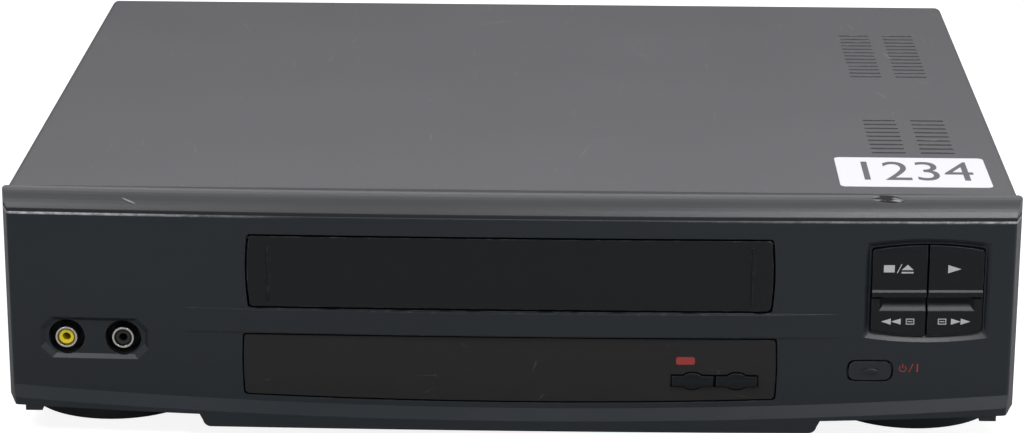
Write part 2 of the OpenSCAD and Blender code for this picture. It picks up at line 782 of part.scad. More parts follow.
module standby_key() {
  color("#26292d")
  union() {
    at_face(standby_x) {
      front_prism(-0.2, cap_d) polygon(standby_outline(0));
      front_prism(flange_y, flange_y + flange_d) polygon(standby_outline(flange_out));
      // The small raised blade in its middle.
      intersection() {
        translate([0, 1.2, standby_z]) rotate([0, 90, 0]) cylinder(r = 2.2, h = 9, center = true);
        front_prism(-2, 2) translate([0, standby_z])
          polygon(concat([for (i = [-6:6]) [i * 0.6, 0.8 - i * i / 48]],
                         [for (i = [-6:6]) [-i * 0.6, i * i / 48 - 0.8]]));
      }
    }
    plunger(standby_x, standby_z, 3.4);
  }
}

control_proud = 1;

module control_cap(x) {
  intersection() {
    front_prism(face_mid_y - 4, face_y(x) + cap_d) translate([x, control_z]) control_outline(0);
    translate([x, face_y(x) - control_proud + 7, control_z]) rotate([0, 90, 0])
      cylinder(r = 7, h = control_w + 2, center = true, $fn = 64);
  }
  translate([x - 2, face_y(x) + cap_d - 2, control_z - 1.7]) cube([4, 2, 3.4]);
}

module record_key() {
  color("#232528")
  union() {
    control_cap(record_x);
    front_prism(face_y(record_x) + flange_y, face_y(record_x) + flange_y + flange_d)
      translate([record_x, control_z]) square([control_w - 1, bulge_h + 2.4], center = true);
    plunger(record_x, control_z, 3.4);
  }
}

rocker_y = face_y(rocker_x) + cap_d + 1.4;

module channel_rocker() {
  color("#232528")
  difference() {
    union() {
      control_cap(rocker_x);
      translate([rocker_x - 2, rocker_y - 2, control_z - 2]) cube([4, 2, 4]);
      translate([rocker_x, rocker_y, control_z]) rotate([0, 90, 0]) cylinder(r = 2, h = 7, center = true);
      for (s = [-1, 1])
        translate([rocker_x - 1.2, rocker_y, control_z + s * 4.2 - 1])
          cube([2.4, switch_tip_y - 0.9 - rocker_y, 2]);
      translate([rocker_x - 1.2, rocker_y - 0.8, control_z - 5]) cube([2.4, 1.6, 10]);
    }
    translate([rocker_x, rocker_y, control_z]) rotate([0, 90, 0])
      cylinder(r = 1.05, h = 20, center = true, $fn = 24);
  }
}

// Front board with its switches, the display tube and the block of the two front sockets.
front_board_top = cassette_z - 7;

module front_board() {
  bx = tray_x - tray_t - 1;
  step = door_w / 2 + 8;
  top = case_h - 14;
  color("#3f6b3a")
  difference() {
    front_prism(front_board_y, front_board_y + board_t)
      polygon([[-bx, floor_z + 1], [bx, floor_z + 1], [bx, top], [step, top],
               [step, front_board_top], [-step, front_board_top], [-step, jack_z + 20],
               [-bx, jack_z + 20]]);
    for (s = [-1, 1], x = [30, 90])
      translate([s * x, front_board_y, front_board_top - 4]) rotate([90, 0, 0])
        cylinder(r = 1.5, h = 10, center = true, $fn = 24);
  }
}

module push_switch(x, z) {
  translate([x - switch_w / 2, front_board_y - 3.6, z - switch_w / 2]) cube([switch_w, 3.6, switch_w]);
  translate([x, front_board_y - 3.5, z]) rotate([90, 0, 0]) cylinder(r = 1.7, h = 1.5, $fn = 24);
}

module push_switches() {
  split = keys_z + keys_split;
  color("#17181a")
  union() {
    for (c = [-1, 1], z = [(keys_z + split) / 2, (split + keys_z + keys_h) / 2])
      push_switch(keys_x + c * keys_w / 4, z);
    push_switch(standby_x, standby_z);
    push_switch(record_x, control_z);
    for (s = [-1, 1]) push_switch(rocker_x, control_z + s * 4.2);
    // The pin that the channel rocker tilts on, with its two ears.
    translate([rocker_x, rocker_y, control_z]) rotate([0, 90, 0])
      cylinder(r = 1, h = 12, center = true, $fn = 24);
    for (s = [-1, 1])
      translate([rocker_x + s * 5 - 1, rocker_y - 1.1, control_z - 2])
        cube([2, front_board_y - rocker_y + 1.1, 4]);
  }
}

module display_module() {
  color("#39505a")
  union() {
    translate([-72, front_board_y - 4.5, window_z + 4]) cube([116, 4.5, 15]);
    translate([-66, front_board_y - 6.5, window_z + 5.5]) cube([104, 2.2, 12]);
    translate([44, front_board_y - 6.2, window_z + 8]) rotate([-90, 0, 0]) cylinder(r = 2, h = 6.2, $fn = 24);
  }
}

module at_jacks() {
  for (s = [-1, 1])
    translate([-jack_x + s * jack_pitch / 2, face_y(jack_x), jack_z]) rotate([-90, 0, 0]) children();
}

jack_in = 0.8;
jack_seat = front_board_y - 4 - face_y(jack_x);

module jack_block() {
  color("#1a1b1d")
  difference() {
    union() {
      translate([-jack_x - jack_pitch / 2 - 8.2, front_board_y - 7, jack_z - 8.2])
        cube([jack_pitch + 16.4, 7, 16.4]);
      // Collars that reach forward round the panel's holes.
      at_jacks() translate([0, 0, panel_t + 0.9]) cylinder(r = jack_hole_r + 1, h = jack_seat - panel_t - 3.6);
    }
    at_jacks() translate([0, 0, panel_t - 1]) cylinder(r = jack_hole_r, h = jack_seat - panel_t - 2.1);
    at_jacks() translate([0, 0, jack_seat - 10]) cylinder(r = jack_r + 0.02, h = 10);
  }
}

module jack_shells() {
  color("#b9bcc0")
    at_jacks() translate([0, 0, jack_in]) tube(jack_r, jack_r - shell_t, jack_seat - jack_in);
}

module jack_insert(side) {
  translate([-jack_x + side * jack_pitch / 2, face_y(jack_x), jack_z]) rotate([-90, 0, 0])
    difference() {
      union() {
        translate([0, 0, jack_in + 0.6]) cylinder(r = jack_r - shell_t - 0.6, h = 5);
        translate([0, 0, jack_in + 2.4]) cylinder(r = jack_r - shell_t - 0.02, h = jack_seat - jack_in - 2.4);
      }
      translate([0, 0, -1]) cylinder(r = 1.6, h = 10.5, $fn = 32);
    }
}

module video_insert() { color("#d8c000") jack_insert(-1); }
module audio_insert() { color("#2c2c2e") jack_insert(1); }

// Main board and what stands on it.
top_z = board_z + board_t;

// The notch that lets a board pass a cover screw's post.
module screw_post_notch(side, y) {
  translate([side * tray_x - 8.3, y - 5.3, board_z - 1]) cube([16.6, 10.6, 4]);
}

module main_board() {
  color("#3f6b3a")
  difference() {
    plan_prism(board_z, top_z)
      polygon([[main_x0, main_y0], [main_x1, main_y0], [main_x1, strip_y0], [strip_x1, strip_y0],
               [strip_x1, main_y1], [main_x0, main_y1]]);
    for (p = [for (i = [0:5]) board_posts[i]])
      translate([p[0], p[1], board_z - 1]) cylinder(r = 1.6, h = 4, $fn = 24);
    for (y = cover_screw_y) screw_post_notch(-1, y);
  }
}

// A dual in-line chip with legs, standing on the board.
module chip(x, y, w, d, pins) {
  translate([x - w / 2, y - d / 2, top_z + 1]) cube([w, d, 3.4]);
  for (i = [0:pins - 1], s = [-1, 1])
    translate([x - w / 2 + (i + 0.5) * w / pins - 0.4, y + s * (d / 2 + 0.2) - 0.5, top_z])
      cube([0.8, 1, 2.6]);
}

module board_parts() {
  mid = (main_x0 + main_x1) / 2;
  color("#1b1c1e")
  union() {
    chip(mid + 6, main_y0 + 40, 38, 13, 10);
    chip(mid + 4, main_y0 + 75, 44, 14, 12);
    chip(mid + 8, main_y0 + 112, 30, 10, 8);
    for (i = [0:4])
      translate([main_x0 + 12, main_y0 + 30 + 17 * i, top_z]) cylinder(r = 4, h = 11, $fn = 32);
    for (i = [0:2])
      translate([main_x1 - 5, main_y0 + 28 + 20 * i, top_z]) cylinder(r = 2.5, h = 7, $fn = 24);
    for (i = [0:3])
      translate([main_x0 + 9, main_y0 + 125 + 9 * i, top_z]) cube([10, 6, 8]);
  }
}

// Rear panel and the sockets behind it.
aerial_x = main_x0 + 20;
aerial_zs = [floor_z + 30, floor_z + 52];
av_xs = [-84, -24];
av_z = floor_z + 19;
mains_x = power_x1 - 18;
mains_z = floor_z + 20;

module rear_panel() {
  color("#a3a5a8")
  difference() {
    union() {
      translate([-tray_x, rear_y - rear_t, floor_z]) cube([2 * tray_x, rear_t, cover_under - floor_z - 0.2]);
      translate([-tray_x + 4, rear_y - 7, cover_under - 0.2 - rear_t]) cube([2 * tray_x - 8, 7, rear_t]);
    }
    for (z = aerial_zs)
      translate([aerial_x, rear_y, z]) rotate([90, 0, 0]) cylinder(r = 5.6, h = 6, center = true);
    for (x = av_xs) translate([x - 24, rear_y - 4, av_z - 7.4]) cube([48, 8, 14.8]);
    translate([mains_x - 11.4, rear_y - 4, mains_z - 8.4]) cube([22.8, 8, 16.8]);
    for (i = [0:11])
      translate([60 + 5 * i, rear_y, cover_under - 24]) rotate([90, 0, 0])
        linear_extrude(8, center = true) rotate(90) slot(22, 2);
  }
}

module tuner_can() {
  color("#b4b7ba")
  union() {
    translate([aerial_x - 13, rear_y - rear_t - 50, top_z]) cube([26, 50, aerial_zs[1] + 12 - top_z]);
    for (i = [0:3])
      translate([aerial_x + 12, rear_y - 44 + 11 * i, top_z + 6]) cube([1.6, 5, 30]);
  }
}

module aerial_sockets() {
  reach = rear_inset + socket_proud;
  color("#c6c8cb")
  for (i = [0, 1])
    translate([aerial_x, rear_y - rear_t, aerial_zs[i]]) rotate([-90, 0, 0])
      difference() {
        union() {
          cylinder(r = 5.4, h = 3.2);
          cylinder(r = i == 0 ? 4.75 : 4.4, h = reach + rear_t);
        }
        difference() {
          translate([0, 0, 3.4]) cylinder(r = i == 0 ? 4.2 : 3.6, h = reach);
          cylinder(r = i == 0 ? 1.2 : 2.2, h = reach + rear_t - 1.2);
        }
        translate([0, 0, 3]) cylinder(r = 0.7, h = reach, $fn = 24);
      }
}

module av_shape(g) {
  polygon([[-22 - g, 6 + g], [-22 - g, -6 - g], [18 + g, -6 - g], [22 + g, -2 - g], [22 + g, 6 + g]]);
}

module av_sockets() {
  color("#202124")
  for (x = av_xs)
    translate([x, 0, av_z])
      difference() {
        union() {
          translate([-23.6, rear_y - 14, top_z - av_z]) cube([47.2, 12, 7 - top_z + av_z]);
          front_prism(rear_y - 4, rear_y + 1.6)
            difference() {
              square([47.2, 14], center = true);
              av_shape(0);
            }
        }
        front_prism(rear_y - 10, rear_y + 6)
          difference() {
            av_shape(0);
            square([37, 2.2], center = true);
          }
        for (i = [-4.5:4.5], s = [-1, 1])
          translate([i * 3.8, rear_y - 6, s * 0.8]) cube([1.4, 12, 0.9], center = true);
      }
}

module mains_inlet() {
  color("#1d1e20")
  difference() {
    union() {
      translate([mains_x - 11, rear_y - 14, top_z]) cube([22, 11, mains_z + 8 - top_z]);
      front_prism(rear_y - 5, rear_y + 1.4) translate([mains_x, mains_z]) square([22, 16], center = true);
    }
    front_prism(rear_y - 11, rear_y + 3)
      translate([mains_x, mains_z])
        difference() {
          union() {
            for (s = [-1, 1]) translate([s * 4, 0]) circle(r = 4);
            square([8, 5], center = true);
          }
          for (s = [-1, 1]) translate([s * 4, 0]) circle(r = 1.2, $fn = 24);
        }
  }
}

// Power supply at the right, under the cover's slots.
core_x = (power_x0 + power_x1) / 2;
core_y = power_y1 - 48;

module power_board() {
  color("#8a6b34")
  difference() {
    translate([power_x0, power_y0, board_z]) cube([power_x1 - power_x0, power_y1 - power_y0, board_t]);
    for (i = [6:9])
      translate([board_posts[i][0], board_posts[i][1], board_z - 1]) cylinder(r = 1.6, h = 4, $fn = 24);
    for (y = cover_screw_y) screw_post_notch(1, y);
  }
}

core_w = 50;
core_d = 24;
core_h = 42;
core_leg = 9;

module transformer_core() {
  color("#55585c")
  difference() {
    translate([core_x - core_w / 2, core_y - core_d / 2, top_z]) cube([core_w, core_d, core_h]);
    for (s = [-1, 1])
      translate([core_x + s * core_w / 4, core_y, top_z + core_h / 2])
        cube([core_w / 2 - core_leg * 1.5, core_d + 2, core_h - 2 * core_leg], center = true);
  }
}

module transformer_winding() {
  coil_x = core_leg * 0.75 + flat_gap;
  color("#9c5a2a")
  difference() {
    translate([core_x - core_w / 2 + core_leg + 1, core_y - core_d / 2 - 7, top_z + core_leg + flat_gap])
      cube([core_w - 2 * core_leg - 2, core_d + 14, core_h - 2 * core_leg - 2 * flat_gap]);
    translate([core_x - coil_x, core_y - core_d / 2 - flat_gap, top_z])
      cube([2 * coil_x, core_d + 2 * flat_gap, core_h]);
  }
}

module heat_sink() {
  color("#9a9da0")
  union() {
    translate([core_x - 26, power_y0 + 70, top_z]) cube([52, 3, 46]);
    for (i = [0:8])
      translate([core_x - 26 + i * 6.25, power_y0 + 72.9, top_z + 4]) cube([2, 9, 42]);
  }
}

module capacitors() {
  color("#26304a")
  union() {
    translate([core_x - 13, power_y0 + 24, top_z]) cylinder(r = 11, h = 32);
    for (i = [0:2])
      translate([core_x + 12, power_y0 + 16 + 12.5 * i, top_z]) cylinder(r = 5, h = 20, $fn = 32);
    for (i = [0:2])
      translate([core_x - 20 + 15 * i, power_y0 + 52, top_z]) cylinder(r = 4, h = 12, $fn = 32);
  }
}

// Transport deck and its fixed posts. Wheel and lever places follow the loaded cassette.
loaded_front = holder_y0 + load_in + cassette_d;
capstan_x = 60;
capstan_y = loaded_front - 5;
clutch_y = reel_y + 40;
idler_len = 26;
idler_at = [idler_len * sin(idler_swing), clutch_y - idler_len * cos(idler_swing)];
idler_r = norm([reel_x, reel_y] - idler_at) - reel_r - flat_gap;
clutch_r = idler_len - idler_r - flat_gap;
guide_cx = 2;
guide_cy = drum_y - 13;
guide_r = 45;
guide_start = -54;
guide_pin_r = 2;
base_len = 17;
stop_angle = guide_start + guide_sweep + (base_len / 2 + 2.2) / guide_r * 180 / PI;
cam_module = 1;
cam_r = cam_teeth * cam_module / 2;
cam_x = -(drum_r + 27 + cam_r);
cam_y = drum_y + 11;
drive_r = drive_teeth * cam_module / 2;
drive_shaft_r = 1.5;
drive_angle = 52;
drive_x = cam_x + (cam_r + drive_r + 0.1) * cos(drive_angle);
drive_y = cam_y + (cam_r + drive_r + 0.1) * sin(drive_angle);
pinch_px = 92;
pinch_py = loaded_front + 11.5;
tension_px = -88;
tension_py = loaded_front + 10;
post_top = cassette_z - load_drop + cassette_h - 3;

module guide_track(w) {
  translate([guide_cx, guide_cy, deck_z - deck_t - 1]) rotate([0, 0, guide_start])
    rotate_extrude(angle = guide_sweep, $fn = 120)
      translate([guide_r - w / 2, 0]) square([w, deck_t + 2]);
  for (a = [guide_start, guide_start + guide_sweep])
    translate([guide_cx + guide_r * cos(a), guide_cy + guide_r * sin(a), deck_z - deck_t - 1])
      cylinder(r = w / 2 + 0.25, h = deck_t + 2);
}

module mech_deck() {
  stud_h = cassette_stand - 0.2;
  color("#a9abad")
  difference() {
    union() {
      translate([-deck_x, deck_y0, deck_z - deck_t]) cube([2 * deck_x, deck_y1 - deck_y0, deck_t]);
      // Studs that the loaded cassette rests on, and the wheels' shafts.
      for (sx = [-1, 1], y = [reel_y - 38, loaded_front - 18])
        translate([sx * 74, y, deck_z - eps]) cylinder(r = 2.6, h = stud_h);
      for (s = [-1, 1])
        translate([s * reel_x, reel_y, deck_z - eps]) cylinder(r = 2, h = 12);
      translate([cam_x, cam_y, deck_z - eps]) cylinder(r = 3, h = 10);
      translate([pinch_px, pinch_py, deck_z - eps]) cylinder(r = 2, h = 16);
      translate([tension_px, tension_py, deck_z - eps]) cylinder(r = 2, h = 12);
      // The stop that each guide base meets at the end of its track.
      mirror_x()
        translate([guide_cx + guide_r * cos(stop_angle), guide_cy + guide_r * sin(stop_angle), deck_z - eps])
          cylinder(r = 2, h = 5);
      // Folded rims at the front and the rear.
      for (y = [deck_y0, deck_y1 - deck_t])
        translate([-deck_x + 16, y, deck_z - eps]) cube([2 * deck_x - 32, deck_t, 4]);
    }
    for (p = deck_posts)
      translate([p[0], p[1], deck_z - 5]) cylinder(r = screw_r + 0.2, h = 10, $fn = 24);
    mirror_x() guide_track(2 * guide_pin_r + 0.8);
    translate([capstan_x, capstan_y, deck_z - 5]) cylinder(r = 4.4, h = 10);
    translate([0, clutch_y, deck_z - 5]) cylinder(r = clutch_shaft_r + run_fit, h = 10);
    translate([drive_x, drive_y, deck_z - 5]) cylinder(r = 2.6, h = 10);
    for (s = [-1, 1])
      translate([s * 28, reel_y - 30, 0]) plan_prism(deck_z - 5, deck_z + 1) slot(34, 14);
  }
}

// Head drum: the lower half stands on the deck, the upper half and its rotor spin on it.
drum_z = deck_z + 9;
drum_gap = 0.3;
drum_shaft_r = 3;

module at_drum() {
  translate([0, drum_y, drum_z]) rotate([drum_lean, 0, 0]) children();
}

module lower_drum() {
  foot_w = 38;
  color("#c4c6c8")
  difference() {
    union() {
      at_drum() cylinder(r = drum_r, h = drum_half_h, $fn = 96);
      at_drum() cylinder(r = drum_r + 0.5, h = drum_half_h * 0.4, $fn = 96);
      at_drum() translate([0, 0, -4]) cylinder(r = 16, h = 5);
      translate([-foot_w / 2, drum_y - 20, deck_z]) cube([foot_w, 40, 6]);
      for (s = [-1, 1])
        translate([s * 14, drum_y, deck_z]) cylinder(r = 5, h = 12);
    }
    at_drum() translate([0, 0, -8]) cylinder(r = drum_shaft_r + run_fit, h = 60);
  }
}

module upper_drum() {
  color("#d2d4d6")
  at_drum() {
    difference() {
      translate([0, 0, drum_half_h + drum_gap]) cylinder(r = drum_r, h = drum_half_h, $fn = 96);
      for (a = [0, 180])
        rotate([0, 0, a]) translate([0, -drum_r, drum_half_h])
          cube([5, 4, 4], center = true);
      translate([0, 0, drum_half_h * 2 - 3]) cylinder(r = 21, h = 10);
    }
    translate([0, 0, -2]) cylinder(r = drum_shaft_r, h = drum_half_h + 4);
  }
}

module drum_rotor() {
  color("#6f7276")
  at_drum() translate([0, 0, drum_half_h * 2 - 3])
    difference() {
      union() {
        cylinder(r = 20, h = 7);
        cylinder(r = 6, h = 9);
      }
      for (a = [0:60:300])
        rotate([0, 0, a]) translate([13, 0, 3]) cylinder(r = 3, h = 10, $fn = 24);
    }
}

// Capstan: stator plate under the deck, flywheel with its shaft running up through the deck.
fly_z = deck_z - deck_t - 8;
fly_h = 5;
pulley_r = 9;

// The capstan's stator and upper bearing, and the loading motor hanging under the deck.
module drive_motors() {
  motor_h = 12;
  color("#7c6a3c")
  union() {
    translate([capstan_x - 24, capstan_y - 24, floor_z]) cube([48, 48, 1.6]);
    translate([capstan_x, capstan_y, floor_z]) tube(6, capstan_r + run_fit, fly_z - 2.3 - floor_z);
    translate([capstan_x, capstan_y, deck_z]) tube(6, capstan_r + run_fit, 5);
    translate([drive_x, drive_y, deck_z - deck_t - motor_h]) difference() {
      cylinder(r = 9, h = motor_h);
      translate([0, 0, 4]) cylinder(r = drive_shaft_r + run_fit, h = motor_h, $fn = 24);
    }
  }
}

module capstan() {
  color("#b0b2b5")
  translate([capstan_x, capstan_y, 0]) {
    difference() {
      translate([0, 0, fly_z - 2]) cylinder(r = flywheel_r, h = fly_h, $fn = 96);
      translate([0, 0, fly_z - 3]) tube(flywheel_r - 4, flywheel_r - 10, 3);
    }
    translate([0, 0, fly_z]) cylinder(r = pulley_r, h = 5.6);
    translate([0, 0, floor_z + 1.9]) cylinder(r = capstan_r, h = post_top - floor_z - 1.9);
  }
}

// Reel tables with their splined hubs.
module reel(x) {
  color("#d9d9d2")
  translate([x, reel_y, deck_z + flat_gap])
    difference() {
      union() {
        cylinder(r = reel_r, h = 2.4, $fn = 72);
        cylinder(r = reel_r - 8, h = 5);
        cylinder(r = 5.4, h = 17);
        for (a = [0:60:300])
          rotate([0, 0, a]) translate([3, -0.8, 4]) cube([5.4, 1.6, 11]);
      }
      translate([0, 0, -1]) cylinder(r = 2 + run_fit, h = 14, $fn = 24);
      for (a = [30:60:330])
        rotate([0, 0, a]) translate([(reel_r + 7) / 2 + 2.5, 0, -1]) cylinder(r = 2, h = 5, $fn = 24);
    }
}

module supply_reel() { reel(-reel_x); }
module takeup_reel() { reel(reel_x); }

// Reel drive: belt from the capstan's pulley to the clutch, and an idler that swings between the reels.
clutch_shaft_r = 2.5;
belt_z = fly_z + 3.4;

module clutch_pulley() {
  color("#3a3c40")
  translate([0, clutch_y, 0])
    difference() {
      union() {
        translate([0, 0, belt_z - 1.2]) cylinder(r = pulley_r + 3, h = 3.6);
        translate([0, 0, belt_z]) cylinder(r = clutch_shaft_r, h = deck_z - belt_z + 9.5);
        translate([0, 0, deck_z + flat_gap]) cylinder(r = clutch_r, h = 4);
      }
      translate([0, 0, belt_z]) tube(pulley_r + 5, pulley_r + 2, 1.2);
    }
}

module drive_belt() {
  clutch_belt_r = pulley_r + 2.3;
  capstan_belt_r = pulley_r + 0.3;
  color("#1a1a1a")
  translate([0, 0, belt_z]) linear_extrude(1)
    difference() {
      hull() {
        translate([0, clutch_y]) circle(r = clutch_belt_r + 0.9);
        translate([capstan_x, capstan_y]) circle(r = capstan_belt_r + 0.9);
      }
      hull() {
        translate([0, clutch_y]) circle(r = clutch_belt_r);
        translate([capstan_x, capstan_y]) circle(r = capstan_belt_r);
      }
    }
}

module idler_arm() {
  arm_z = deck_z + 4.6;
  color("#c9b04a")
  translate([0, clutch_y, arm_z])
    difference() {
      union() {
        cylinder(r = 5, h = 1.6);
        translate([-3, -idler_len, 0]) cube([6, idler_len, 1.6]);
        translate([0, -idler_len, 0]) cylinder(r = 4, h = 1.6);
        translate([0, -idler_len, -4.2]) cylinder(r = 1.5, h = 5);
      }
      translate([0, 0, -1]) cylinder(r = clutch_shaft_r + run_fit, h = 4);
    }
}

module idler_wheel() {
  color("#2e2f31")
  translate([0, clutch_y - idler_len, deck_z + flat_gap])
    difference() {
      cylinder(r = idler_r, h = 3.6, $fn = 64);
      translate([0, 0, -1]) cylinder(r = 1.5 + run_fit, h = 6, $fn = 24);
      translate([0, 0, 2.6]) tube(idler_r - 2, 4, 2);
    }
}

// A guide base with its roller post and its slanted post, at the start of its track.
module guide() {
  color("#cfa94e")
  translate([guide_cx, guide_cy, 0]) rotate([0, 0, guide_start]) {
    intersection() {
      translate([0, 0, deck_z + flat_gap]) tube(guide_r + 5, guide_r - 5, 4);
      translate([guide_r, 0, deck_z]) cube([14, base_len, 12], center = true);
    }
    translate([guide_r, 0, deck_z - deck_t - 2.3]) cylinder(r = 4.6, h = 2);
    translate([guide_r, 0, deck_z - deck_t - 1]) cylinder(r = guide_pin_r, h = deck_t + 2);
  }
  color("#e3e4e5")
  translate([guide_cx, guide_cy, 0]) rotate([0, 0, guide_start]) {
    translate([guide_r, -3, deck_z + 4]) cylinder(r = 1.5, h = post_top - deck_z - 4);
    translate([guide_r, -3, deck_z + 6.6]) cylinder(r = 3, h = post_top - deck_z - 9);
    translate([guide_r, 4, deck_z + 3]) rotate([0, -12, 0]) cylinder(r = 1.4, h = post_top - deck_z - 6);
  }
}

module takeup_guide() { guide(); }
module supply_guide() { mirror([1, 0, 0]) guide(); }

// Involute gear outline with a thinned tooth, which leaves backlash.
function inv(a) = tan(a) - a * PI / 180;

function gear_outline(teeth, m, thin = 0.12, n = 4) =
  let (r = teeth * m / 2, base = r * cos(20), tip = r + 0.9 * m, root = r - 1.2 * m,
       start = max(base, root), half = 90 / teeth + inv(20) * 180 / PI - thin * 90 / (PI * r),
       flank = [for (i = [0:n]) let (q = start + (tip - start) * i / n, a = acos(min(1, base / q)))
                [q, half - inv(a) * 180 / PI]])
  [for (k = [0:teeth - 1], p = concat([[root, -half - 1.2 / teeth]],
                    [for (f = flank) [f[0], -f[1]]],
                    [for (i = [n:-1:0]) flank[i]],
                    [[root, half + 1.2 / teeth]]))
    let (a = k * 360 / teeth + p[1]) [p[0] * cos(a), p[0] * sin(a)]];

module loading_cam() {
  color("#e6e3da")
  translate([cam_x, cam_y, deck_z + flat_gap])
    difference() {
      union() {
        linear_extrude(4) polygon(gear_outline(cam_teeth, cam_module));
        cylinder(r = 7, h = 8);
      }
      translate([0, 0, -1]) cylinder(r = 3 + run_fit, h = 12);
      // The cam track that the levers' pins would follow.
      translate([1.5, 1, 2.4]) tube(cam_r - 4.5, cam_r - 7.5, 4);
    }
}

module loading_pinion() {
  color("#e6e3da")
  translate([drive_x, drive_y, 0]) {
    translate([0, 0, deck_z + flat_gap])
      rotate([0, 0, drive_angle + 180 + 180 / drive_teeth + drive_angle * cam_teeth / drive_teeth])
        linear_extrude(5) polygon(gear_outline(drive_teeth, cam_module));
    translate([0, 0, deck_z - deck_t - 7]) cylinder(r = drive_shaft_r, h = deck_t + 10);
  }
}

// Pinch roller on its arm, standing clear of the capstan until the cam swings it in.
pinch_len = norm([capstan_x - pinch_px, capstan_y - pinch_py]);
pinch_dir = atan2(capstan_y - pinch_py, capstan_x - pinch_px);
pinch_open = 14;
pinch_close = 2 * asin((pinch_r + capstan_r + flat_gap) / (2 * pinch_len));
pinch_angle = pinch_dir - pinch_close - pinch_open;
pinch_at = [pinch_px + pinch_len * cos(pinch_angle), pinch_py + pinch_len * sin(pinch_angle)];

module pinch_arm() {
  z = deck_z + 10;
  color("#b7b9bb")
  difference() {
    union() {
      translate([pinch_px, pinch_py, deck_z + flat_gap]) cylinder(r = 4.5, h = 12.5);
      translate([pinch_at[0], pinch_at[1], z]) cylinder(r = 4, h = 1.6);
      translate([pinch_px, pinch_py, z]) rotate([0, 0, pinch_angle])
        translate([0, -3.5, 0]) cube([pinch_len, 7, 1.6]);
      translate([pinch_at[0], pinch_at[1], z]) cylinder(r = 1.5, h = 16);
    }
    translate([pinch_px, pinch_py, deck_z]) cylinder(r = 2 + run_fit, h = 20, $fn = 24);
  }
}

module pinch_roller() {
  color("#1b1b1c")
  translate([pinch_at[0], pinch_at[1], deck_z + 11.8]) tube(pinch_r, 1.5 + run_fit, 13);
}

module tension_arm() {
  z = deck_z + 5;
  color("#b7b9bb")
  difference() {
    union() {
      translate([tension_px, tension_py, deck_z + flat_gap]) cylinder(r = 4, h = 8);
      translate([tension_px, tension_py, z]) rotate([0, 0, -32]) {
        translate([0, -2.5, 0]) cube([26, 5, 1.6]);
        translate([26, 0, 0]) cylinder(r = 3, h = 1.6);
        translate([26, 0, 0]) cylinder(r = 1.5, h = post_top - z);
      }
    }
    translate([tension_px, tension_py, deck_z]) cylinder(r = 2 + run_fit, h = 20, $fn = 24);
  }
}

// Erase head, audio and control head, and the fixed posts between them.
module tape_heads() {
  color("#8d9094")
  union() {
    translate([-78, loaded_front + 20, deck_z]) cube([14, 8, post_top - deck_z - 1]);
    translate([64, loaded_front + 20, deck_z]) cube([15, 9, post_top - deck_z - 1]);
    translate([60, loaded_front + 23, deck_z]) cylinder(r = 1.5, h = post_top - deck_z);
    for (p = [[-58, loaded_front + 13], [-84, loaded_front + 27], [83, loaded_front + 26]])
      translate([p[0], p[1], deck_z]) cylinder(r = 2, h = post_top - deck_z);
  }
}

// Carriage: side plates with runner slots, slides with racks, a shaft with two pinions, and the holder.
plate_top = holder_top + 6;
plate_y0 = holder_y0 - 3;
plate_y1 = holder_y0 + cassette_d + load_in - 20;
runner_z = deck_z + 9;
runner_r = 1.5;
slide_y0 = holder_y0 + 8;
slide_y1 = holder_y0 + 84;
pin_ys = [slide_y0 + 8, slide_y1 - 8];
pin_z = cassette_z + 13;
pin_r = 1.6;
pinion_r = pinion_teeth * rack_module / 2;
pinion_y = slide_y0 + load_in + 5;
rack_z = holder_top - 1.5;
pinion_z = rack_z + pinion_r + 0.1;
shaft_r = 2;

module carriage_plate() {
  difference() {
    union() {
      translate([plate_x, plate_y0, deck_z]) cube([sheet_t, plate_y1 - plate_y0, plate_top - deck_z]);
      translate([plate_x, plate_y0, deck_z]) cube([deck_x - plate_x, plate_y1 - plate_y0, sheet_t]);
      translate([plate_x, pinion_y, pinion_z]) rotate([0, 90, 0]) cylinder(r = 5, h = sheet_t + 2);
    }
    side_prism(plate_x - 1, plate_x + sheet_t + 1)
      translate([(pin_ys[0] + pin_ys[1] + load_in) / 2, runner_z])
        slot(pin_ys[1] - pin_ys[0] + load_in + 2 * runner_r + 3, 2 * runner_r + 0.4);
    // The corner behind the pinion is cut away, as the real sheet is.
    side_prism(plate_x - 1, plate_x + sheet_t + 1)
      polygon([[plate_y1 + 1, plate_top + 1], [pinion_y + 28, plate_top + 1],
               [plate_y1 - 14, runner_z + 16], [plate_y1 + 1, runner_z + 12]]);
    for (y = [plate_y0 + 34, plate_y0 + 74])
      side_prism(plate_x - 1, plate_x + sheet_t + 1)
        translate([y, runner_z + 16]) slot(26, 12);
    translate([plate_x, pinion_y, pinion_z]) rotate([0, 90, 0])
      cylinder(r = shaft_r + run_fit, h = 20, center = true);
    for (p = deck_posts)
      translate([abs(p[0]), p[1], deck_z - 1]) cylinder(r = 4, h = 8);
  }
}

module carriage_right() { color("#9fa2a5") carriage_plate(); }
module carriage_left() { color("#9fa2a5") mirror([1, 0, 0]) carriage_plate(); }

module carriage_bridge() {
  color("#9fa2a5")
  difference() {
    union() {
      translate([-plate_x - sheet_t, plate_y0, plate_top]) cube([2 * (plate_x + sheet_t), 16, sheet_t]);
      translate([-plate_x + 8, plate_y0, plate_top - 3]) cube([2 * plate_x - 16, sheet_t, 3.5]);
    }
    for (x = [-60, -30, 0, 30, 60])
      translate([x, plate_y0 + 9, 0]) plan_prism(plate_top - 1, plate_top + 3) slot(18, 6);
  }
}

rack_pitch = PI * rack_module;
rack_teeth = floor((pinion_y - slide_y0 - 2) / rack_pitch) + 2;

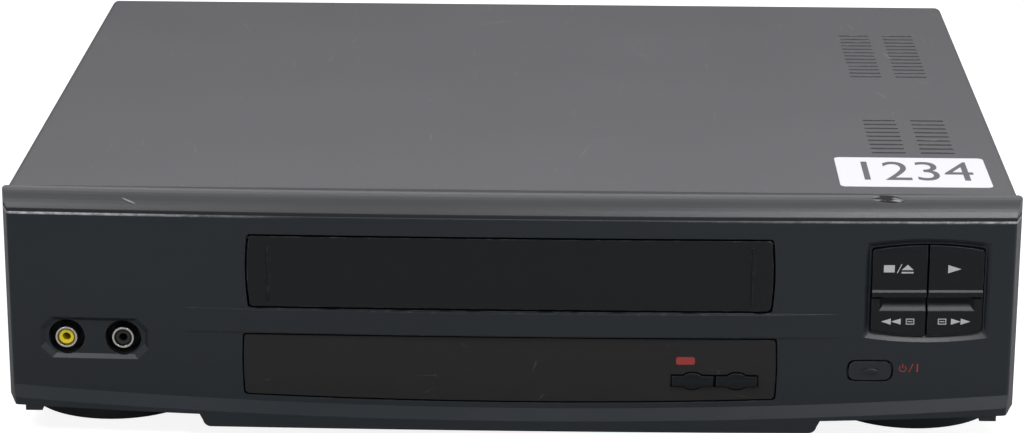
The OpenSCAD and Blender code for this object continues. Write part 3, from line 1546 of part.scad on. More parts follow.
module slide() {
  translate([slide_x, 0, 0])
    difference() {
      union() {
        side_prism(0, sheet_t)
          polygon(concat([[slide_y1, rack_z - 1.3 * rack_module], [slide_y1, runner_z - 4],
                  [slide_y0, runner_z - 4], [slide_y0, rack_z - 1.3 * rack_module]],
            [for (i = [0:rack_teeth - 1], p = [[-1.2, -1.3], [-0.4, 0.85], [0.4, 0.85], [1.2, -1.3]])
              [pinion_y + (i - rack_teeth + 2.5) * rack_pitch + p[0] * rack_module * 0.92,
               rack_z + p[1] * rack_module]]));
        for (y = pin_ys)
          translate([sheet_t - eps, y, runner_z]) rotate([0, 90, 0])
            cylinder(r = runner_r, h = slide_gap + sheet_t + 1);
      }
      for (y = pin_ys)
        side_prism(-1, sheet_t + 1)
          translate([y, pin_z - load_drop / 2]) rotate(90)
            slot(load_drop + 2 * pin_r + 0.4, 2 * pin_r + 0.3);
    }
}

module rack_slides() {
  color("#d8d5c8") mirror_x() slide();
}

module pinion_shaft() {
  color("#dcdacf")
  translate([0, pinion_y, pinion_z]) {
    rotate([0, 90, 0]) cylinder(r = shaft_r, h = 2 * (plate_x + sheet_t + 3), center = true);
    mirror_x()
      translate([slide_x - 0.4, 0, 0]) rotate([90, 0, 90])
        rotate([0, 0, -90]) linear_extrude(sheet_t + 0.6)
          difference() {
            polygon(gear_outline(pinion_teeth, rack_module));
            circle(r = shaft_r - 0.2);
          }
  }
}

module cassette_holder() {
  ledge = 9;
  y1 = holder_y0 + cassette_d;
  color("#a6a9ac")
  difference() {
    union() {
      translate([-holder_x, holder_y0, holder_top]) cube([2 * holder_x, cassette_d, sheet_t]);
      mirror_x() {
        translate([holder_half, holder_y0, cassette_z - sheet_t - 0.1])
          cube([sheet_t, cassette_d, holder_top - cassette_z + sheet_t + 0.2]);
        translate([holder_half - ledge, holder_y0, cassette_z - sheet_t - 0.1])
          cube([ledge + eps, cassette_d, sheet_t]);
        for (y = pin_ys)
          translate([holder_x - eps, y, pin_z]) rotate([0, 90, 0])
            cylinder(r = pin_r, h = slide_x - holder_x + sheet_t + 0.2);
      }
    }
    // Openings in the top plate over the reels and at the front edge.
    for (s = [-1, 1])
      translate([s * reel_x, holder_y0 + 50, holder_top - 1]) cylinder(r = 17, h = 4);
    translate([0, holder_y0, 0]) plan_prism(holder_top - 1, holder_top + 3) slot(70, 22);
    translate([0, y1, 0]) plan_prism(holder_top - 1, holder_top + 3) slot(110, 30);
  }
}

// Ribbon cable from the front board down to the main board.
module flat_cable() {
  w = 24;
  t = 0.5;
  y0 = front_board_y + board_t;
  z1 = jack_z - 4;
  color("#d7d7d2")
  side_prism(main_x0 + 10, main_x0 + 10 + w)
    polygon([[y0, z1], [y0 + 3, z1], [main_y0 + 12, top_z + 7], [main_y0 + 12, top_z],
             [main_y0 + 12 - t, top_z], [main_y0 + 12 - t, top_z + 6.6], [y0 + 3, z1 - t], [y0, z1 - t]]);
}

module deck_screws() {
  color("#c2a45a")
  for (p = deck_posts) translate([p[0], p[1], deck_z]) pan_screw(screw_r, 9);
}

base_tray();
feet();
top_cover();
front_panel();
rear_panel();
cassette_door();
display_window();
display_module();
front_board();
push_switches();
stop_eject_key();
play_key();
rewind_key();
fast_forward_key();
standby_key();
record_key();
channel_rocker();
jack_shells();
video_insert();
audio_insert();
jack_block();
main_board();
board_parts();
tuner_can();
aerial_sockets();
av_sockets();
mains_inlet();
power_board();
transformer_core();
transformer_winding();
heat_sink();
capacitors();
mech_deck();
carriage_left();
carriage_right();
carriage_bridge();
rack_slides();
pinion_shaft();
cassette_holder();
lower_drum();
upper_drum();
drum_rotor();
drive_motors();
capstan();
supply_reel();
takeup_reel();
idler_arm();
idler_wheel();
clutch_pulley();
drive_belt();
supply_guide();
takeup_guide();
loading_cam();
loading_pinion();
pinch_arm();
pinch_roller();
tension_arm();
tape_heads();
flat_cable();
deck_screws();
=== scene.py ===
"""Finishes, printed marks, label and stage for the front-loading video cassette recorder."""

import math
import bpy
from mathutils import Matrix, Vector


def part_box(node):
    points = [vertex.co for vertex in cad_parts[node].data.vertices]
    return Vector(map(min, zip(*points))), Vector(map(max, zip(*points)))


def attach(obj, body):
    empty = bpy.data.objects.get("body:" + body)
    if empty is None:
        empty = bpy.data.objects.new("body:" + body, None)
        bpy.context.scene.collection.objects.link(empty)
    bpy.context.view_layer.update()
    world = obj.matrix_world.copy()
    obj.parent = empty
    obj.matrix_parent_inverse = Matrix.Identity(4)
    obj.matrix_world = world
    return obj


bl_info = {
    "name": "Video cassette recorder dressing",
    "version": (1, 0, 0),
    "blender": (4, 5, 0),
    "location": "View3D > Sidebar > Recorder",
    "description": "Dresses the packed recorder with its finishes, printed marks, label and stage",
    "category": "Object",
}

import bmesh
import bpy
from bpy.props import FloatProperty, FloatVectorProperty, IntProperty
from mathutils import Matrix, Vector
from mathutils.bvhtree import BVHTree

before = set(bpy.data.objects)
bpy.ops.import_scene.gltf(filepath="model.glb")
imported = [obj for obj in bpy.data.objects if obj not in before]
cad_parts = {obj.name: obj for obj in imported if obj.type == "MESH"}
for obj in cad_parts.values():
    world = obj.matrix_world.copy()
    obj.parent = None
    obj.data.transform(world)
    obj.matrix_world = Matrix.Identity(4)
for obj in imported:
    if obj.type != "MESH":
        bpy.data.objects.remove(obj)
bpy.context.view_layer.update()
MM = 0.001

# The front panel, in mm
CREASE_Z = 87.3  # height of the crease under the panel's slope

# The label's digits, in mm
DIGIT_HALF_THICK = 0.015
DIGIT_LIFT = 0.012  # their middle over the paper
DIGIT_STRETCH = (0.76, 1.12)  # across and along the cover

# The stage, in metres and watts
FLOOR_HALF = 6
FLOOR_GAP = 0.1  # under the feet, in mm
FLOOR_COLOUR = (0.37, 0.37, 0.37, 1)
FLOOR_GLOW = 0.88  # what the camera alone sees on top of the floor's own colour
ROOM_COLOUR = (0.17, 0.17, 0.18, 1)
LAMP_AIM = (0, 0, 0.05)
LAMPS = (  # name, place, width, depth, power
    ("top_box", (0.0, 0.6, 1.12), 1.5, 0.5, 8.4),
    ("right_box", (0.43, -0.66, 0.97), 0.5, 0.45, 9.2),
    ("left_box", (-0.62, -0.58, 0.95), 0.5, 0.45, 5.6),
    ("right_fill", (0.95, 0.0, 0.3), 0.6, 0.55, 3.0),
    ("low_left", (-1.0, -1.25, 0.42), 0.7, 0.6, 3.0),
    ("low_right", (1.1, -1.25, 0.42), 0.7, 0.6, 2.0),
)

# The camera: a lens and a place worked out from the photograph's own perspective
CAMERA_LENS = 115.0
CAMERA_SENSOR = 36.0
CAMERA_PLACE = (0.0264, -1.2988, 0.4543)
CAMERA_TURNS = ((1.98, "Z"), (72.35, "X"), (-0.67, "Y"))

EVEN = (1, 1, 1)  # a grain that runs no way


# shader maths
class Wire:
    """A node's output, so that a finish can be written as sums and products."""

    def __init__(self, tree, socket):
        self.tree = tree
        self.socket = socket

    def _math(self, operation, first, second=None):
        node = self.tree.nodes.new("ShaderNodeMath")
        node.operation = operation
        for slot, value in zip(node.inputs, (first, second)):
            if isinstance(value, Wire):
                self.tree.links.new(value.socket, slot)
            elif value is not None:
                slot.default_value = value
        return Wire(self.tree, node.outputs[0])

    def __add__(self, other):
        return self._math("ADD", self, other)

    __radd__ = __add__

    def __sub__(self, other):
        return self._math("SUBTRACT", self, other)

    def __rsub__(self, other):
        return self._math("SUBTRACT", other, self)

    def __mul__(self, other):
        return self._math("MULTIPLY", self, other)

    __rmul__ = __mul__

    def __truediv__(self, other):
        return self._math("DIVIDE", self, other)

    def sine(self):
        return self._math("SINE", self)

    def size(self):
        return self._math("ABSOLUTE", self)

    def rise(self, low, high):
        """0 below low and 1 above high, or the other way round where low is the larger."""
        node = self.tree.nodes.new("ShaderNodeMapRange")
        node.interpolation_type = "SMOOTHSTEP"
        node.inputs["From Min"].default_value = low
        node.inputs["From Max"].default_value = high
        self.tree.links.new(self.socket, node.inputs["Value"])
        return Wire(self.tree, node.outputs["Result"])


class Finish:
    """A material under construction, around one Principled shader."""

    def __init__(self, name, **constants):
        self.material = bpy.data.materials.new(name)
        self.material.use_nodes = True
        self.tree = self.material.node_tree
        self.tree.nodes.clear()
        self.shader = self.node("ShaderNodeBsdfPrincipled")
        surface = self.node("ShaderNodeOutputMaterial")
        self.tree.links.new(self.shader.outputs[0], surface.inputs["Surface"])
        for socket, value in constants.items():
            self.shader.inputs[socket.replace("_", " ")].default_value = value

    def node(self, kind, settings=None, inputs=None):
        made = self.tree.nodes.new(kind)
        for key, value in (settings or {}).items():
            setattr(made, key, value)
        for key, value in (inputs or {}).items():
            if isinstance(value, Wire):
                self.tree.links.new(value.socket, made.inputs[key])
            else:
                made.inputs[key].default_value = value
        return made

    def out(self, node, name=0):
        return Wire(self.tree, node.outputs[name])

    def place(self, stretch=EVEN):
        """Where a point is on the recorder, in millimetres, stretched along each axis."""
        where = self.out(self.node("ShaderNodeTexCoord"), "Object")
        scale = [1000 * s for s in stretch]
        made = self.node("ShaderNodeVectorMath", {"operation": "MULTIPLY"}, {0: where, 1: scale})
        return self.out(made)

    def axes(self):
        """The point's x, y and z on the recorder, in millimetres."""
        parts = self.node("ShaderNodeSeparateXYZ", None, {0: self.place()})
        return [self.out(parts, n) for n in "XYZ"]

    def noise(self, grain, detail=2.0, stretch=EVEN, rough=0.5):
        """Noise whose lumps are about grain millimetres across."""
        inputs = {"Vector": self.place(stretch), "Scale": 1 / grain, "Detail": detail, "Roughness": rough}
        return self.out(self.node("ShaderNodeTexNoise", None, inputs), "Fac")

    def cells(self, grain, feature="F1", stretch=EVEN):
        """How far a point is from the middle of its cell, or from the cell's edge, by the feature named."""
        inputs = {"Vector": self.place(stretch), "Scale": 1 / grain}
        return self.out(self.node("ShaderNodeTexVoronoi", {"feature": feature}, inputs), "Distance")

    def mix(self, share, first, second):
        """The first colour where share is 0, and the second where it is 1."""
        made = self.node("ShaderNodeMix", {"data_type": "RGBA"}, {0: share, 6: paint(first), 7: paint(second)})
        return self.out(made, 2)

    def tint(self, colour, value):
        """A colour made darker or lighter by a number."""
        made = self.node("ShaderNodeVectorMath", {"operation": "SCALE"}, {0: paint(colour, 3), "Scale": value})
        return self.out(made)

    def bump(self, height, distance, normal=None):
        """A normal tilted by height, where 1 stands for distance millimetres."""
        inputs = {"Height": height, "Distance": distance * MM}
        if normal is not None:
            inputs["Normal"] = normal
        return self.out(self.node("ShaderNodeBump", None, inputs))

    def soft_edge(self, radius):
        """The normal of the surface with its sharp edges rounded off."""
        return self.out(self.node("ShaderNodeBevel", {"samples": 6}, {"Radius": radius * MM}))

    def edge(self, radius, low=0.02, high=0.14):
        """1 along the sharp edges, and 0 on the faces between."""
        flat = self.out(self.node("ShaderNodeNewGeometry"), "True Normal")
        normals = {0: self.soft_edge(radius), 1: flat}
        dot = self.node("ShaderNodeVectorMath", {"operation": "DOT_PRODUCT"}, normals)
        return (1 - self.out(dot, "Value")).rise(low, high)

    def feed(self, **wires):
        """Links the varying values to the shader, and gives the finished material."""
        for socket, value in wires.items():
            self.tree.links.new(value.socket, self.shader.inputs[socket.replace("_", " ")])
        return self.material


def paint(colour, length=4):
    """A colour as a socket takes it, or the wire it already is."""
    if isinstance(colour, Wire):
        return colour
    return (list(colour)[:3] + [1.0])[:length]


def lighter(colour, factor):
    return [min(1.0, c * factor) for c in list(colour)[:3]]


def mixed(first, second, share):
    return [a + (b - a) * share for a, b in zip(list(first)[:3], list(second)[:3])]


# finishes
def moulding(name, colour, rough=0.5, grain=0.45, depth=0.02, level=0.25, rub_and_highlight=0.0, soft=0.25):
    """Moulded plastic with a fine eroded grain, faint flow clouds, and edges lightened partly by rubbed wear and partly
    as painted highlight.
    """
    f = Finish(name, Roughness=rough, Specular_IOR_Level=level)
    fine = f.noise(grain, 3.0, rough=0.6)
    cloud = f.noise(38, 2.0)
    tone = f.tint(colour, 0.9 + 0.12 * cloud + 0.1 * fine)
    # Lighter edges, partly rubbed wear and partly painted highlight.
    if rub_and_highlight:
        worn_and_highlit = f.edge(0.5) * f.noise(3.2, 4.0).rise(0.42, 0.75) * rub_and_highlight
        tone = f.mix(worn_and_highlit, tone, mixed(colour, (0.5, 0.5, 0.52), 0.35))
    normal = f.bump(fine, depth, f.soft_edge(soft)) if soft else f.bump(fine, depth)
    return f.feed(Base_Color=tone, Roughness=rough - 0.06 + 0.1 * cloud + 0.06 * fine, Normal=normal)


def oval(u, v, half_u_squared, half_v_squared, low, high):
    """1 inside an oval and 0 outside it, for wires u and v that count from its middle."""
    return (u * u / half_u_squared + v * v / half_v_squared).rise(low, high)


def front_moulding(name, colour, crease_z):
    """The front panel's plastic: as moulding, with painted shade and a painted highlight along the crease under its
    slope, the slope over it painted lighter as sheen, a knock with painted shade and highlights, and a scuff.
    """
    f = Finish(name, Roughness=0.34, Specular_IOR_Level=0.42)
    x, _, z = f.axes()
    fine = f.noise(0.4, 3.0, rough=0.62)
    cloud = f.noise(45, 2.5)
    over = z - crease_z
    tone = f.tint(colour, 0.86 + 0.16 * cloud + 0.12 * fine)
    # The slope above the crease is painted lighter, more so towards its top: painted sheen.
    tone = f.mix(over.rise(0.2, 1.4) * (0.5 + 0.04 * over), tone, (0.055, 0.055, 0.058))
    # Just over the crease a line of painted shade, and on the crease a thin painted highlight, stronger towards both
    # ends and broken up by noise.
    ends = (x * -1).rise(70, 190) + x.rise(40, 260) * 0.9
    chips = f.noise(2.5, 5.0, (0.5, 1, 1), 0.75).rise(0.38, 0.62)
    dark = (over - 0.9).size().rise(0.75, 0.4)
    crease_highlight = (over + 0.05).size().rise(0.6, 0.2) * ends * (0.35 + 0.65 * chips)
    tone = f.mix(dark * 0.85, tone, (0.006, 0.006, 0.007))
    tone = f.mix(crease_highlight, tone, (0.42, 0.42, 0.45))
    rubbed = f.edge(0.45) * f.noise(2.6, 5.0, rough=0.7).rise(0.52, 0.74)
    tone = f.mix(rubbed * 0.35, tone, (0.2, 0.2, 0.21))
    # One old knock on the slope near the label, torn into streaks of painted shade and painted highlight.
    knock_x, knock_z = x - 140, z - 94.0
    torn = f.noise(1.5, 4.0, (0.5, 1, 1.6)).rise(0.3, 0.38)
    knock = oval(knock_x, knock_z + 0.05 * knock_x, 36, 0.8, 1.15, 0.75) * torn
    highlight_streaks = f.noise(1.3, 3.0, (0.25, 1, 2)).rise(0.54, 0.62)
    tone = f.mix(knock, tone, f.mix(highlight_streaks, (0.004, 0.004, 0.005), (0.2, 0.2, 0.21)))
    # A scuff at the other end: a light stroke with its shaded lower edge.
    lean = z - 91.6 + (x + 141.5) * 0.3
    scuff = oval(x + 141.5, lean, 7, 0.07, 1.2, 0.5)
    under = oval(x + 142.3, lean + 0.5, 7, 0.05, 1.2, 0.5)
    tone = f.mix(scuff * 0.6, f.mix(under * 0.7, tone, (0.01, 0.01, 0.011)), (0.3, 0.3, 0.31))
    height = fine - 3 * knock - 2 * under - 3 * dark
    rough = 0.3 + 0.08 * cloud + 0.06 * fine + 0.6 * dark + 0.4 * knock
    return f.feed(Base_Color=tone, Roughness=rough, Normal=f.bump(height, 0.03, f.soft_edge(0.3)))


def enamel(name, colour):
    """Textured enamel on sheet steel: a fine orange-peel, faint rubbing marks and chipped edges."""
    f = Finish(name, Roughness=0.5, Specular_IOR_Level=0.4)
    fine = f.noise(0.55, 4.0, rough=0.65)
    cloud = f.noise(70, 3.0)
    dust = f.cells(4.5).rise(0.16, 0.03) * f.noise(23, 2.0).rise(0.5, 0.7)
    hair = f.cells(26, "DISTANCE_TO_EDGE", (1, 0.22, 1)).rise(0.012, 0.003)
    hair = hair * f.noise(18, 2.0).rise(0.55, 0.75)
    tone = f.tint(colour, 0.9 + 0.1 * cloud + 0.12 * fine)
    tone = f.mix(dust * 0.14 + hair * 0.12, tone, (0.45, 0.45, 0.46))
    chips = f.edge(0.5) * f.noise(4, 5.0, rough=0.75).rise(0.52, 0.66)
    tone = f.mix(chips * 0.7, tone, (0.36, 0.36, 0.37))
    rough = 0.44 + 0.12 * cloud + 0.12 * fine
    return f.feed(Base_Color=tone, Roughness=rough, Normal=f.bump(fine - 0.3 * hair, 0.035, f.soft_edge(0.3)))


def smoked(name, colour):
    """Polished smoked plastic with hairlines and a few dust specks."""
    f = Finish(name, Roughness=0.16, Specular_IOR_Level=0.22)
    cloud = f.noise(30, 2.0)
    specks = f.cells(2.6).rise(0.07, 0.02) * f.noise(14).rise(0.52, 0.7)
    hair = f.cells(11, "DISTANCE_TO_EDGE", (0.3, 1, 1)).rise(0.014, 0.003)
    hair = hair * f.noise(9, 2.0).rise(0.55, 0.8)
    tone = f.mix(specks * 0.35 + hair * 0.1, f.tint(colour, 0.9 + 0.2 * cloud), (0.3, 0.29, 0.28))
    rough = 0.12 + 0.1 * cloud + 0.3 * specks + 0.2 * hair
    return f.feed(Base_Color=tone, Roughness=rough, Normal=f.soft_edge(0.2))


def sheet(name, colour, rough=0.36, brush=(0.05, 1, 1), dull=0.12):
    """Plated or rolled sheet metal with a brushed grain and a few stains."""
    f = Finish(name, Metallic=1.0, Roughness=rough)
    grain = f.noise(0.5, 4.0, brush, 0.7)
    stain = f.noise(24, 3.0).rise(0.45, 0.8)
    spangle = f.cells(7)
    tone = f.tint(colour, 0.84 + 0.14 * grain + 0.08 * spangle)
    tone = f.mix(stain * dull, tone, lighter(colour, 0.55))
    rough = rough - 0.08 + 0.16 * grain + 0.12 * stain
    return f.feed(Base_Color=tone, Roughness=rough, Normal=f.bump(grain, 0.012, f.soft_edge(0.15)))


def turned(name, colour, rough=0.22, pitch=0.3):
    """Turned metal: fine rings up the axis and a light stain."""
    f = Finish(name, Metallic=1.0, Roughness=rough)
    z = f.axes()[2]
    rings = (z * (math.tau / pitch)).sine() * 0.5 + 0.5
    grain = f.noise(0.3, 3.0)
    stain = f.noise(9, 3.0)
    tone = f.tint(colour, 0.88 + 0.1 * stain + 0.06 * grain)
    normal = f.bump(rings * 0.6 + grain * 0.4, 0.006, f.soft_edge(0.12))
    return f.feed(Base_Color=tone, Roughness=rough + 0.1 * stain + 0.04 * rings, Normal=normal)


def rubber(name, colour):
    """Ground rubber with a faint pale bloom."""
    f = Finish(name, Roughness=0.75, Specular_IOR_Level=0.3)
    grain = f.noise(0.2, 4.0, rough=0.7)
    bloom = f.noise(5, 3.0).rise(0.4, 0.8)
    tone = f.mix(bloom * 0.25, f.tint(colour, 0.8 + 0.4 * grain), (0.09, 0.09, 0.09))
    return f.feed(Base_Color=tone, Roughness=0.66 + 0.14 * grain, Normal=f.bump(grain, 0.02))


def laminate(name, colour, copper, mask):
    """A coated circuit board: tracks under the lacquer, and tinned joints."""
    f = Finish(name, Roughness=0.35, Specular_IOR_Level=0.4)
    tracks = f.cells(5.2, "DISTANCE_TO_EDGE", (1, 1, 0.02)).rise(0.1, 0.14)
    joints = f.cells(3.4, stretch=(1, 1, 0.02)).rise(0.24, 0.17)
    weave = f.noise(0.35, 2.0)
    tone = f.mix(tracks * mask, f.tint(colour, 0.85 + 0.3 * weave), copper)
    tone = f.mix(joints * 0.85, tone, (0.5, 0.51, 0.52))
    rough = 0.42 - 0.16 * joints + 0.08 * weave
    return f.feed(Base_Color=tone, Roughness=rough, Normal=f.bump(tracks * 0.4 + joints, 0.05))


def layered(name, colour, pitch, depth, metal=0.0, rough=0.5, along=2):
    """Stacked sheets, turns of wire or the cores of a flat cable, as fine ridges along one axis."""
    f = Finish(name, Metallic=metal, Roughness=rough)
    ridge = (f.axes()[along] * (math.tau / pitch)).sine() * 0.5 + 0.5
    stain = f.noise(6, 3.0)
    tone = f.tint(colour, 0.62 + 0.3 * ridge + 0.2 * stain)
    normal = f.bump(ridge, depth, f.soft_edge(0.2))
    return f.feed(Base_Color=tone, Roughness=rough - 0.08 + 0.16 * stain, Normal=normal)


def ink(name, colour, wear=0.25):
    """Pad-printed ink, slightly broken by the grain under it."""
    f = Finish(name, Roughness=0.55, Specular_IOR_Level=0.3)
    fine = f.noise(0.3, 3.0)
    tone = f.tint(colour, 0.82 + wear * fine + 0.06 * f.noise(6))
    return f.feed(Base_Color=tone, Roughness=0.5 + 0.12 * fine, Normal=f.bump(fine, 0.008))


def paper(name, colour):
    """Matt paper with its fibres, and grime along its edges."""
    f = Finish(name, Roughness=0.7, Specular_IOR_Level=0.35)
    fibre = f.noise(0.5, 4.0, (1, 0.5, 1), 0.7)
    grime = f.edge(0.8) * 0.25 + f.noise(16, 3.0).rise(0.55, 0.9) * 0.1
    tone = f.mix(grime, f.tint(colour, 0.95 + 0.07 * fibre), (0.5, 0.5, 0.49))
    return f.feed(Base_Color=tone, Roughness=0.62 + 0.12 * fibre, Normal=f.bump(fibre, 0.01))


def lens(name, colour):
    """The display tube behind the window: dark tinted glass with its grey element rows."""
    f = Finish(name, Roughness=0.1, Specular_IOR_Level=0.5)
    x, _, z = f.axes()
    rows = ((x * 0.9).sine() * (z * 1.3).sine()).rise(0.35, 0.5)
    tone = f.mix(rows * 0.4, f.tint(colour, 0.9 + 0.2 * f.noise(8)), (0.16, 0.17, 0.18))
    return f.feed(Base_Color=tone, Roughness=0.1 + 0.1 * f.noise(5), Normal=f.soft_edge(0.3))


# shapes
def dress(material, *names):
    """Gives the named CAD nodes one material."""
    for name in names:
        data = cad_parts[name].data
        data.materials.clear()
        data.materials.append(material)


def skin(*names):
    """A ray target made of the named nodes."""
    points, faces = [], []
    for name in names:
        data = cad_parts[name].data
        start = len(points)
        points += [v.co.copy() for v in data.vertices]
        faces += [[start + i for i in p.vertices] for p in data.polygons]
    return BVHTree.FromPolygons(points, faces)


class Face:
    """A side of the recorder that ink and labels are laid on: front or top."""

    def __init__(self, side, *names):
        self.target = skin(*names)
        self.side = side

    def at(self, u, v, lift):
        """The point over u and v, given in mm, raised off the surface by lift mm."""
        if self.side == "front":
            origin, towards = Vector((u * MM, -0.4, v * MM)), Vector((0, 1, 0))
        else:
            origin, towards = Vector((u * MM, v * MM, 0.4)), Vector((0, 0, -1))
        hit = self.target.ray_cast(origin, towards)[0]
        if hit is None:
            raise RuntimeError(f"nothing lies under the mark at {u:.1f}, {v:.1f}")
        return hit - towards * lift * MM


def laid(name, face, outlines, thick, material, body, sunk=0.03):
    """Thin closed pieces laid on a face, one for each outline of points in mm."""
    mesh = bmesh.new()
    for outline in outlines:
        top = [mesh.verts.new(face.at(u, v, thick)) for u, v in outline]
        low = [mesh.verts.new(face.at(u, v, -sunk)) for u, v in outline]
        count = len(outline)
        bmesh.ops.triangulate(mesh, faces=[mesh.faces.new(top), mesh.faces.new(low[::-1])])
        for i in range(count):
            mesh.faces.new([top[i], low[i], low[(i + 1) % count], top[(i + 1) % count]])
    bmesh.ops.recalc_face_normals(mesh, faces=mesh.faces)
    return settle(name, mesh, material, body)


def settle(name, mesh, material, body):
    """Turns a finished bmesh into a piece that rides on a body."""
    data = bpy.data.meshes.new(name)
    mesh.to_mesh(data)
    mesh.free()
    data.materials.append(material)
    piece = bpy.data.objects.new(name, data)
    bpy.context.scene.collection.objects.link(piece)
    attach(piece, body)
    return piece


def block(u0, v0, u1, v1):
    """A rectangle between two corners."""
    return [(u0, v0), (u1, v0), (u1, v1), (u0, v1)]


def arrow(u_tip, u_base, v, half):
    """A triangle that points along u."""
    return [(u_tip, v), (u_base, v + half), (u_base, v - half)]


def up_arrow(u, v_base, v_tip, half):
    """A triangle that points upwards."""
    return [(u - half, v_base), (u + half, v_base), (u, v_tip)]


def leaning(u0, v0, u1, v1, wide):
    """A thin slanting bar."""
    return [(u0, v0), (u0 + wide, v0), (u1 + wide, v1), (u1, v1)]


def broken_ring(u, v, radius, wide, gap=38, steps=20):
    """A ring that is open at the top, in degrees to each side, as one outline for each short stretch."""
    angles = [math.radians(90 + gap + (360 - 2 * gap) * i / steps) for i in range(steps + 1)]
    rim = [[(u + r * math.cos(a), v + r * math.sin(a)) for a in angles] for r in (radius, radius - wide)]
    return [[rim[0][i], rim[0][i + 1], rim[1][i + 1], rim[1][i]] for i in range(steps)]


def window_box(u, v):
    """A small outlined box with a bar across its middle, as closed strips."""
    half, tall, line = 1.55, 1.15, 0.32
    inner = half - line
    return [
        block(u - half, v - tall, u - inner, v + tall),
        block(u + inner, v - tall, u + half, v + tall),
        block(u - inner, v - tall, u + inner, v - tall + line),
        block(u - inner, v + tall - line, u + inner, v + tall),
        block(u - inner + line, v - line / 2, u + inner - line, v + line / 2),
    ]


def round_box(u0, v0, u1, v1, radius, steps=6):
    """A rectangle with rounded corners."""
    left, right, low, high = u0 + radius, u1 - radius, v0 + radius, v1 - radius
    outline = []
    for corner_u, corner_v, start in ((right, high, 0), (left, high, 90), (left, low, 180), (right, low, 270)):
        for i in range(steps + 1):
            angle = math.radians(start + 90 * i / steps)
            outline.append((corner_u + radius * math.cos(angle), corner_v + radius * math.sin(angle)))
    return outline


# settings
def colour(name, description, default):
    return FloatVectorProperty(
        name=name, description=description, subtype="COLOR", size=3, default=default, min=0, max=1
    )


def length(name, description, default, low, high):
    return FloatProperty(name=name, description=description + ", in mm", default=default, min=low, max=high)


class RecorderColours(bpy.types.PropertyGroup):
    """Colours of the recorder's outside."""

    cover: colour("Cover", "Enamel of the steel cover", (0.087, 0.086, 0.092))
    front: colour("Front", "Plastic of the front panel and the standby key", (0.007, 0.0105, 0.0145))
    door: colour("Door", "Plastic of the cassette door", (0.0035, 0.0055, 0.006))
    window: colour("Window", "Smoked window over the display", (0.0145, 0.0142, 0.0142))
    keys: colour("Keys", "Plastic of the keys", (0.0045, 0.006, 0.0075))
    marks: colour("Marks", "Grey ink of the key symbols", (0.42, 0.43, 0.44))
    red_marks: colour("Red marks", "Red ink of the standby and record symbols", (0.27, 0.035, 0.03))
    label: colour("Label", "Paper of the plain label on the cover", (0.66, 0.655, 0.7))
    digits: colour("Digits", "Print on the label", (0.12, 0.12, 0.13))


class RecorderSizes(bpy.types.PropertyGroup):
    """Sizes of what is laid on the recorder, in millimetres."""

    ink: length("Ink", "Thickness of the printed marks", 0.02, 0.01, 0.1)
    label_width: length("Label width", "Width of the label", 57.0, 30, 80)
    label_depth: length("Label depth", "Depth of the label", 38.0, 15, 50)
    label_corner: length("Label corners", "Radius of the label's corners", 2.2, 0.5, 7)
    label_thick: length("Label thickness", "Thickness of the label's paper", 0.12, 0.05, 0.5)
    label_x: length("Label place", "Middle of the label to the right of the recorder's middle", 151.6, -150, 155)
    label_y: length("Label inset", "Middle of the label behind the cover's front edge", 27.8, 20, 250)
    digit_size: length("Digit size", "Size of the label's digits", 31.0, 10, 34)
    number: IntProperty(name="Label number", description="Plain number on the label", default=1234, min=0, max=9999)


class RecorderPiece:
    """What the recorder's operators share."""

    bl_options = {"REGISTER", "UNDO"}

    @property
    def colours(self):
        return bpy.context.scene.recorder_colours

    @property
    def sizes(self):
        return bpy.context.scene.recorder_sizes


class RECORDER_OT_case(RecorderPiece, bpy.types.Operator):
    """Paint the cover, the tray, the feet and the rear plate"""

    bl_idname = "recorder.case"
    bl_label = "Case finishes"

    def execute(self, context):
        dress(enamel("cover_enamel", self.colours.cover), "top_cover")
        tray = moulding("tray_moulding", (0.026, 0.028, 0.032), rough=0.5, grain=0.6, depth=0.03, level=0.4, rub_and_highlight=0.4)
        dress(tray, "base_tray")
        foot = moulding("foot_moulding", (0.022, 0.0245, 0.027), rough=0.5, grain=0.5, depth=0.03, level=0.4, rub_and_highlight=0.5)
        dress(foot, "feet")
        dress(sheet("rear_zinc", (0.5, 0.51, 0.53), rough=0.42), "rear_panel")
        return {"FINISHED"}


class RECORDER_OT_front(RecorderPiece, bpy.types.Operator):
    """Finish the front panel, the door, the window, the keys and the two front sockets"""

    bl_idname = "recorder.front"
    bl_label = "Front finishes"

    def execute(self, context):
        c = self.colours
        dress(front_moulding("front_moulding", c.front, CREASE_Z), "front_panel")
        door = moulding("door_moulding", c.door, rough=0.34, grain=0.35, depth=0.012, level=0.28, rub_and_highlight=0.6)
        dress(door, "cassette_door")
        dress(smoked("window_smoke", c.window), "display_window")
        polish = {"rough": 0.33, "grain": 0.3, "depth": 0.012, "rub_and_highlight": 0.3, "soft": 0.3}
        key = moulding("key_moulding", c.keys, level=0.24, **polish)
        dress(key, "stop_eject_key", "play_key", "rewind_key", "fast_forward_key", "record_key", "channel_rocker")
        dress(moulding("standby_moulding", c.front, level=0.45, **polish), "standby_key")
        dress(sheet("socket_nickel", (0.62, 0.6, 0.56), rough=0.2, brush=EVEN), "jack_shells")
        insert = {"rough": 0.4, "grain": 0.3, "depth": 0.005, "level": 0.4, "soft": 0.1}
        dress(moulding("yellow_insert", (0.66, 0.54, 0.02), **insert), "video_insert")
        dress(moulding("black_insert", (0.012, 0.012, 0.013), **insert), "audio_insert")
        return {"FINISHED"}


